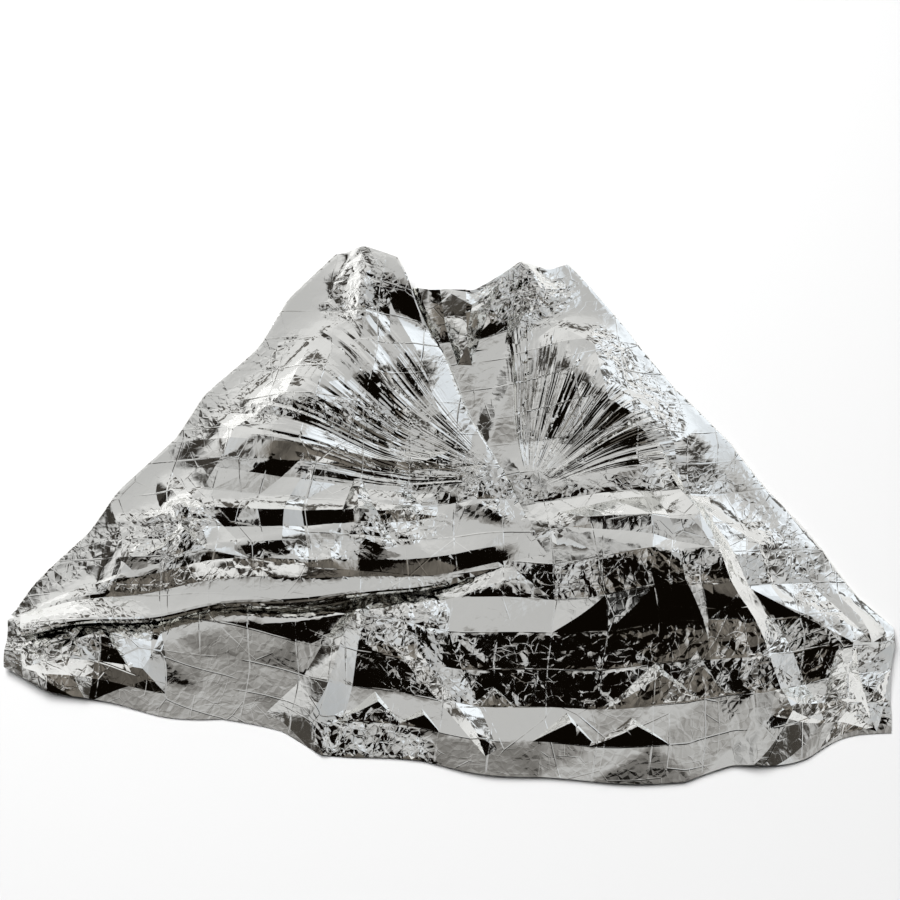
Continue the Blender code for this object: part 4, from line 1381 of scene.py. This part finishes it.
# %% Heights of the foil
CALM_SHARE = 0.09  # of the crushed places' relief stays where the film is calm
HEM = 0.004  # the welts end this far from the outline
packet = fill_group(
    welts,
    Place=place,
    Column=COLUMN,
    Row=ROW,
    Width=0.0022,
    Height=0.00050,
    Half_Length=LENGTH / 2 - HEM,
    Half_Width=WIDTH / 2 - HEM,
)
long_creases = fill_group(strays, Place=place, Spacing=0.13, Width=0.0018, Height=0.00026, Patchiness=0.44)[0]
short_creases = fill_group(strays, Place=place, Spacing=0.055, Width=0.0012, Height=0.00009, Patchiness=0.50)[0]
swirl = noise(tree, place, 11.0, 2.0, "Color")
swirl_sum = {0: swirl, 1: (0.09, 0.09, 0), 2: place}
swirled = add_node(tree, "ShaderNodeVectorMath", swirl_sum, operation="MULTIPLY_ADD").outputs[0]
stretched = reckon_vector(tree, "MULTIPLY", swirled, (1.0, 1.35, 1.0))
wrinkles = fill_group(strays, Place=stretched, Spacing=0.030, Width=0.0018, Height=0.00055, Patchiness=0.46)[0]
coarse = fill_group(facets, Place=place, Facet_Size=0.036, Steepness=0.16)[0]
left_streaks, right_streaks = (
    fill_group(streaks, Place=place, Gathered_At=(fan.x, fan.y, 0), Streaks=46.0, Reach=0.66, Steepness=0.22)[0]
    for fan in FANS
)
from_side = add_node(tree, "ShaderNodeSeparateXYZ", {0: place}).outputs["X"]
on_left = reckon(tree, "LESS_THAN", from_side, (FANS[0].x + FANS[1].x) / 2)
both = add_node(tree, "ShaderNodeMix", {0: on_left, 2: right_streaks, 3: left_streaks}).outputs[0]
gathered = reckon(tree, "MULTIPLY", both, gathered_there)
crushed_share = reckon(tree, "MAXIMUM", crumpled_there, CALM_SHARE)
crushed = reckon(tree, "MULTIPLY", reckon(tree, "ADD", coarse, wrinkles), crushed_share)
lines = reckon(tree, "ADD", packet["Height"], reckon(tree, "ADD", long_creases, short_creases))
height = reckon(tree, "ADD", reckon(tree, "ADD", crushed, lines), gathered)
bump = add_node(tree, "ShaderNodeBump", {"Height": height, "Distance": 1.0, "Strength": 1.0})
feed(tree, shader.inputs["Normal"], bump.outputs[0])
print("the foil's material has", len(tree.nodes), "nodes")

# %% [markdown]
# The film's roughness is low and uneven. It rises where the film was rubbed along the welts, and a little in the
# crushed places.

# %% Roughness of the foil
CLEAN, RUBBED = 0.035, 0.10
ON_WELTS, WHERE_CRUSHED = 0.10, 0.02
roughness = map_range(tree, noise(tree, place, 14.0, 4.0), 0.3, 0.75, CLEAN, RUBBED)
roughness = reckon(tree, "ADD", roughness, reckon(tree, "MULTIPLY", packet["Mask"], ON_WELTS))
roughness = reckon(tree, "ADD", roughness, reckon(tree, "MULTIPLY", crumpled_there, WHERE_CRUSHED))
feed(tree, shader.inputs["Roughness"], roughness)
print("the foil is between", CLEAN, "and", round(RUBBED + ON_WELTS + WHERE_CRUSHED, 3), "rough")

# %% [markdown]
# ## What the mirror sees
#
# A mirror in an empty white room is a white shape. Film looks like film because the room has light walls, a darker
# band above them and a black ceiling. The floor is plain, pale and dull, and no lighter than paper, because the film
# mirrors it as well.

# %% Floor
FLOOR_TONE, REACH = 0.70, 15.0
floor_mesh = bpy.data.meshes.new("floor")
floor_corners = [(-REACH, -REACH, 0), (REACH, -REACH, 0), (REACH, REACH, 0), (-REACH, REACH, 0)]
floor_mesh.from_pydata(floor_corners, [], [(0, 1, 2, 3)])
floor = put_in_scene("floor", floor_mesh)
floor_finish = bpy.data.materials.new("pale_floor")
floor_finish.use_nodes = True
floor_shader = floor_finish.node_tree.nodes["Principled BSDF"]
floor_shader.inputs["Base Color"].default_value = (FLOOR_TONE, FLOOR_TONE, FLOOR_TONE, 1)
floor_shader.inputs["Roughness"].default_value = 0.85
floor_mesh.materials.append(floor_finish)
print("the floor reaches", REACH, "m each way")

# %% [markdown]
# The room is drawn as a sky instead of being built, because nothing but its mirror image is wanted. Its tone depends on
# the height above the horizon. Round the room light panels and dark gaps follow each other, but only on the walls.
# The dark ceiling is a disc that leans towards the camera's side.

# %% Tones of the room
Tone = namedtuple("Tone", "at light warmth", defaults=(0.0,))
WALL_TONES = (  # at is the sine of the height above the horizon
    Tone(0.00, 0.85),
    Tone(0.20, 0.85),
    Tone(0.24, 0.10, 1.0),
    Tone(0.30, 0.10, 1.0),
    Tone(0.34, 0.86),
    Tone(0.52, 0.80),
    Tone(0.62, 0.68),
    Tone(0.80, 0.62),
    Tone(0.86, 0.58),
    Tone(0.925, 0.56),
    Tone(0.955, 0.38, 0.2),
    Tone(0.980, 0.20, 0.4),
    Tone(1.00, 0.16, 0.5),
)
ROUND_TONES = (  # at is a share of the way round, from the left wall by the near one
    Tone(0.00, 1.00, -0.4),
    Tone(0.06, 0.90),
    Tone(0.08, 0.08, 1.0),
    Tone(0.10, 0.08, 1.0),
    Tone(0.12, 0.90),
    Tone(0.17, 0.30, 1.0),
    Tone(0.25, 0.10, 1.0),
    Tone(0.33, 0.30, 1.0),
    Tone(0.38, 0.90),
    Tone(0.40, 0.08, 1.0),
    Tone(0.42, 0.08, 1.0),
    Tone(0.44, 0.80),
    Tone(0.50, 0.78, -0.4),
    Tone(0.56, 0.80),
    Tone(0.575, 0.06, 1.0),
    Tone(0.595, 0.06, 1.0),
    Tone(0.612, 0.85),
    Tone(0.625, 1.25, -0.6),
    Tone(0.672, 1.25, -0.6),
    Tone(0.685, 0.85),
    Tone(0.80, 0.95),
    Tone(0.86, 0.95),
    Tone(0.885, 0.06, 1.0),
    Tone(0.915, 0.06, 1.0),
    Tone(0.94, 0.95),
    Tone(0.985, 0.15, 1.0),
)
CEILING_EDGE, CEILING_LEAN = math.cos(math.radians(25)), math.radians(19)
CEILING_BLUR = 0.012
CEILING_TONE = (0.003, 0.002, 0.001, 1)
print(len(WALL_TONES), "tones up the walls and", len(ROUND_TONES), "round the room")

# %% [markdown]
# The tones become two colour ramps. One is read on the height of the direction in which the film looks, and one on its
# turn about the upright, and the second multiplies the first.

# %% Room
world = bpy.data.worlds.new("studio")
bpy.context.scene.world = world
world.use_nodes = True
room_tree = world.node_tree
room_tree.nodes.clear()


def tone_ramp(share, tones):
    """A colour ramp with these tones; warmth above 0 is brownish and below 0 bluish."""
    ramp = add_node(room_tree, "ShaderNodeValToRGB", {"Fac": share})
    steps = ramp.color_ramp.elements
    steps.remove(steps[1])
    for index, tone in enumerate(tones):
        step = steps[0] if index == 0 else steps.new(tone.at)
        step.color = (tone.light, tone.light * (1 - 0.10 * tone.warmth), tone.light * (1 - 0.22 * tone.warmth), 1)
    return ramp.outputs["Color"]


def mixed(share, below, above, **settings):
    """A mix of two colours."""
    mix = {0: share, 6: below, 7: above}
    return add_node(room_tree, "ShaderNodeMix", mix, data_type="RGBA", **settings).outputs[2]


looking = add_node(room_tree, "ShaderNodeTexCoord").outputs["Generated"]
axes = add_node(room_tree, "ShaderNodeSeparateXYZ", {0: looking})
up = axes.outputs["Z"]
turned = reckon(room_tree, "ARCTAN2", axes.outputs["Y"], axes.outputs["X"])
way_round = reckon(room_tree, "ADD", reckon(room_tree, "DIVIDE", turned, 2 * math.pi), 0.5)
low_down, overhead = map_range(room_tree, up, 0.10, 0.30), map_range(room_tree, up, 0.93, 0.80)
where_panels_hang = reckon(room_tree, "MULTIPLY", low_down, overhead)
wall, panels = tone_ramp(up, WALL_TONES), tone_ramp(way_round, ROUND_TONES)
room = mixed(where_panels_hang, wall, panels, blend_type="MULTIPLY")
ceiling_middle = unit(np.array([0.0, -math.sin(CEILING_LEAN), math.cos(CEILING_LEAN)]))
dot = add_node(room_tree, "ShaderNodeVectorMath", {0: looking, 1: ceiling_middle}, operation="DOT_PRODUCT")
ceiling = map_range(room_tree, dot.outputs["Value"], CEILING_EDGE - CEILING_BLUR, CEILING_EDGE)
room = mixed(ceiling, room, CEILING_TONE)
background = add_node(room_tree, "ShaderNodeBackground", {"Color": room})
feed(room_tree, add_node(room_tree, "ShaderNodeOutputWorld").inputs[0], background.outputs[0])
print("the room has", len(room_tree.nodes), "nodes")

# %% [markdown]
# The film needs no lamp, but the floor does. The sky would light it with the uneven tones of the room, so its diffuse
# light is off. A large lamp gives the sheet a soft shadow, and a wide sun lights the floor evenly as far as it can be
# seen. Neither is seen in the film, where it would be a hard white spot.

# %% Lamps
def soft_lamp(name, kind, power, place):
    """A lamp that faces the middle of the floor and lights it, but isn't seen in the film."""
    data = bpy.data.lights.new(name, kind)
    data.energy = power
    lamp = put_in_scene(name, data)
    lamp.location = place
    lamp.rotation_euler = (-Vector(place)).to_track_quat("-Z", "Y").to_euler()
    lamp.visible_glossy = False
    return data


world.cycles_visibility.diffuse = False
soft_lamp("key_lamp", "AREA", 130, (-1.6, 2.6, 3.4)).size = 1.6
soft_lamp("even_light", "SUN", 3.4, (-1.0, 1.5, 4.4)).angle = math.radians(40)
print("lamps:", [lamp.name for lamp in bpy.data.lights])

# %% [markdown]
# ## Camera
#
# The camera stands above the sheet and looks down on it from the near edge, steeply enough to see the whole outline
# and low enough for the rises to show.

# %% Camera
ELEVATION, DISTANCE = math.radians(70), 4.5
AIM = Vector((0.0, 0.13, 0.03))
lens = bpy.data.cameras.new("camera")
lens.lens = 79
camera = put_in_scene("camera", lens)
back = Vector((0, -math.cos(ELEVATION), math.sin(ELEVATION)))
camera.location = AIM + DISTANCE * back
camera.rotation_euler = (-back).to_track_quat("-Z", "Y").to_euler()
bpy.context.scene.camera = camera
bpy.context.scene.view_settings.view_transform = "Standard"
print("the camera is", round(camera.location.z, 2), "m above the floor")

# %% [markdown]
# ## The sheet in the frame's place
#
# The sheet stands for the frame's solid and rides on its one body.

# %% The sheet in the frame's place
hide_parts("foil_blanket")
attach(sheet, "root")
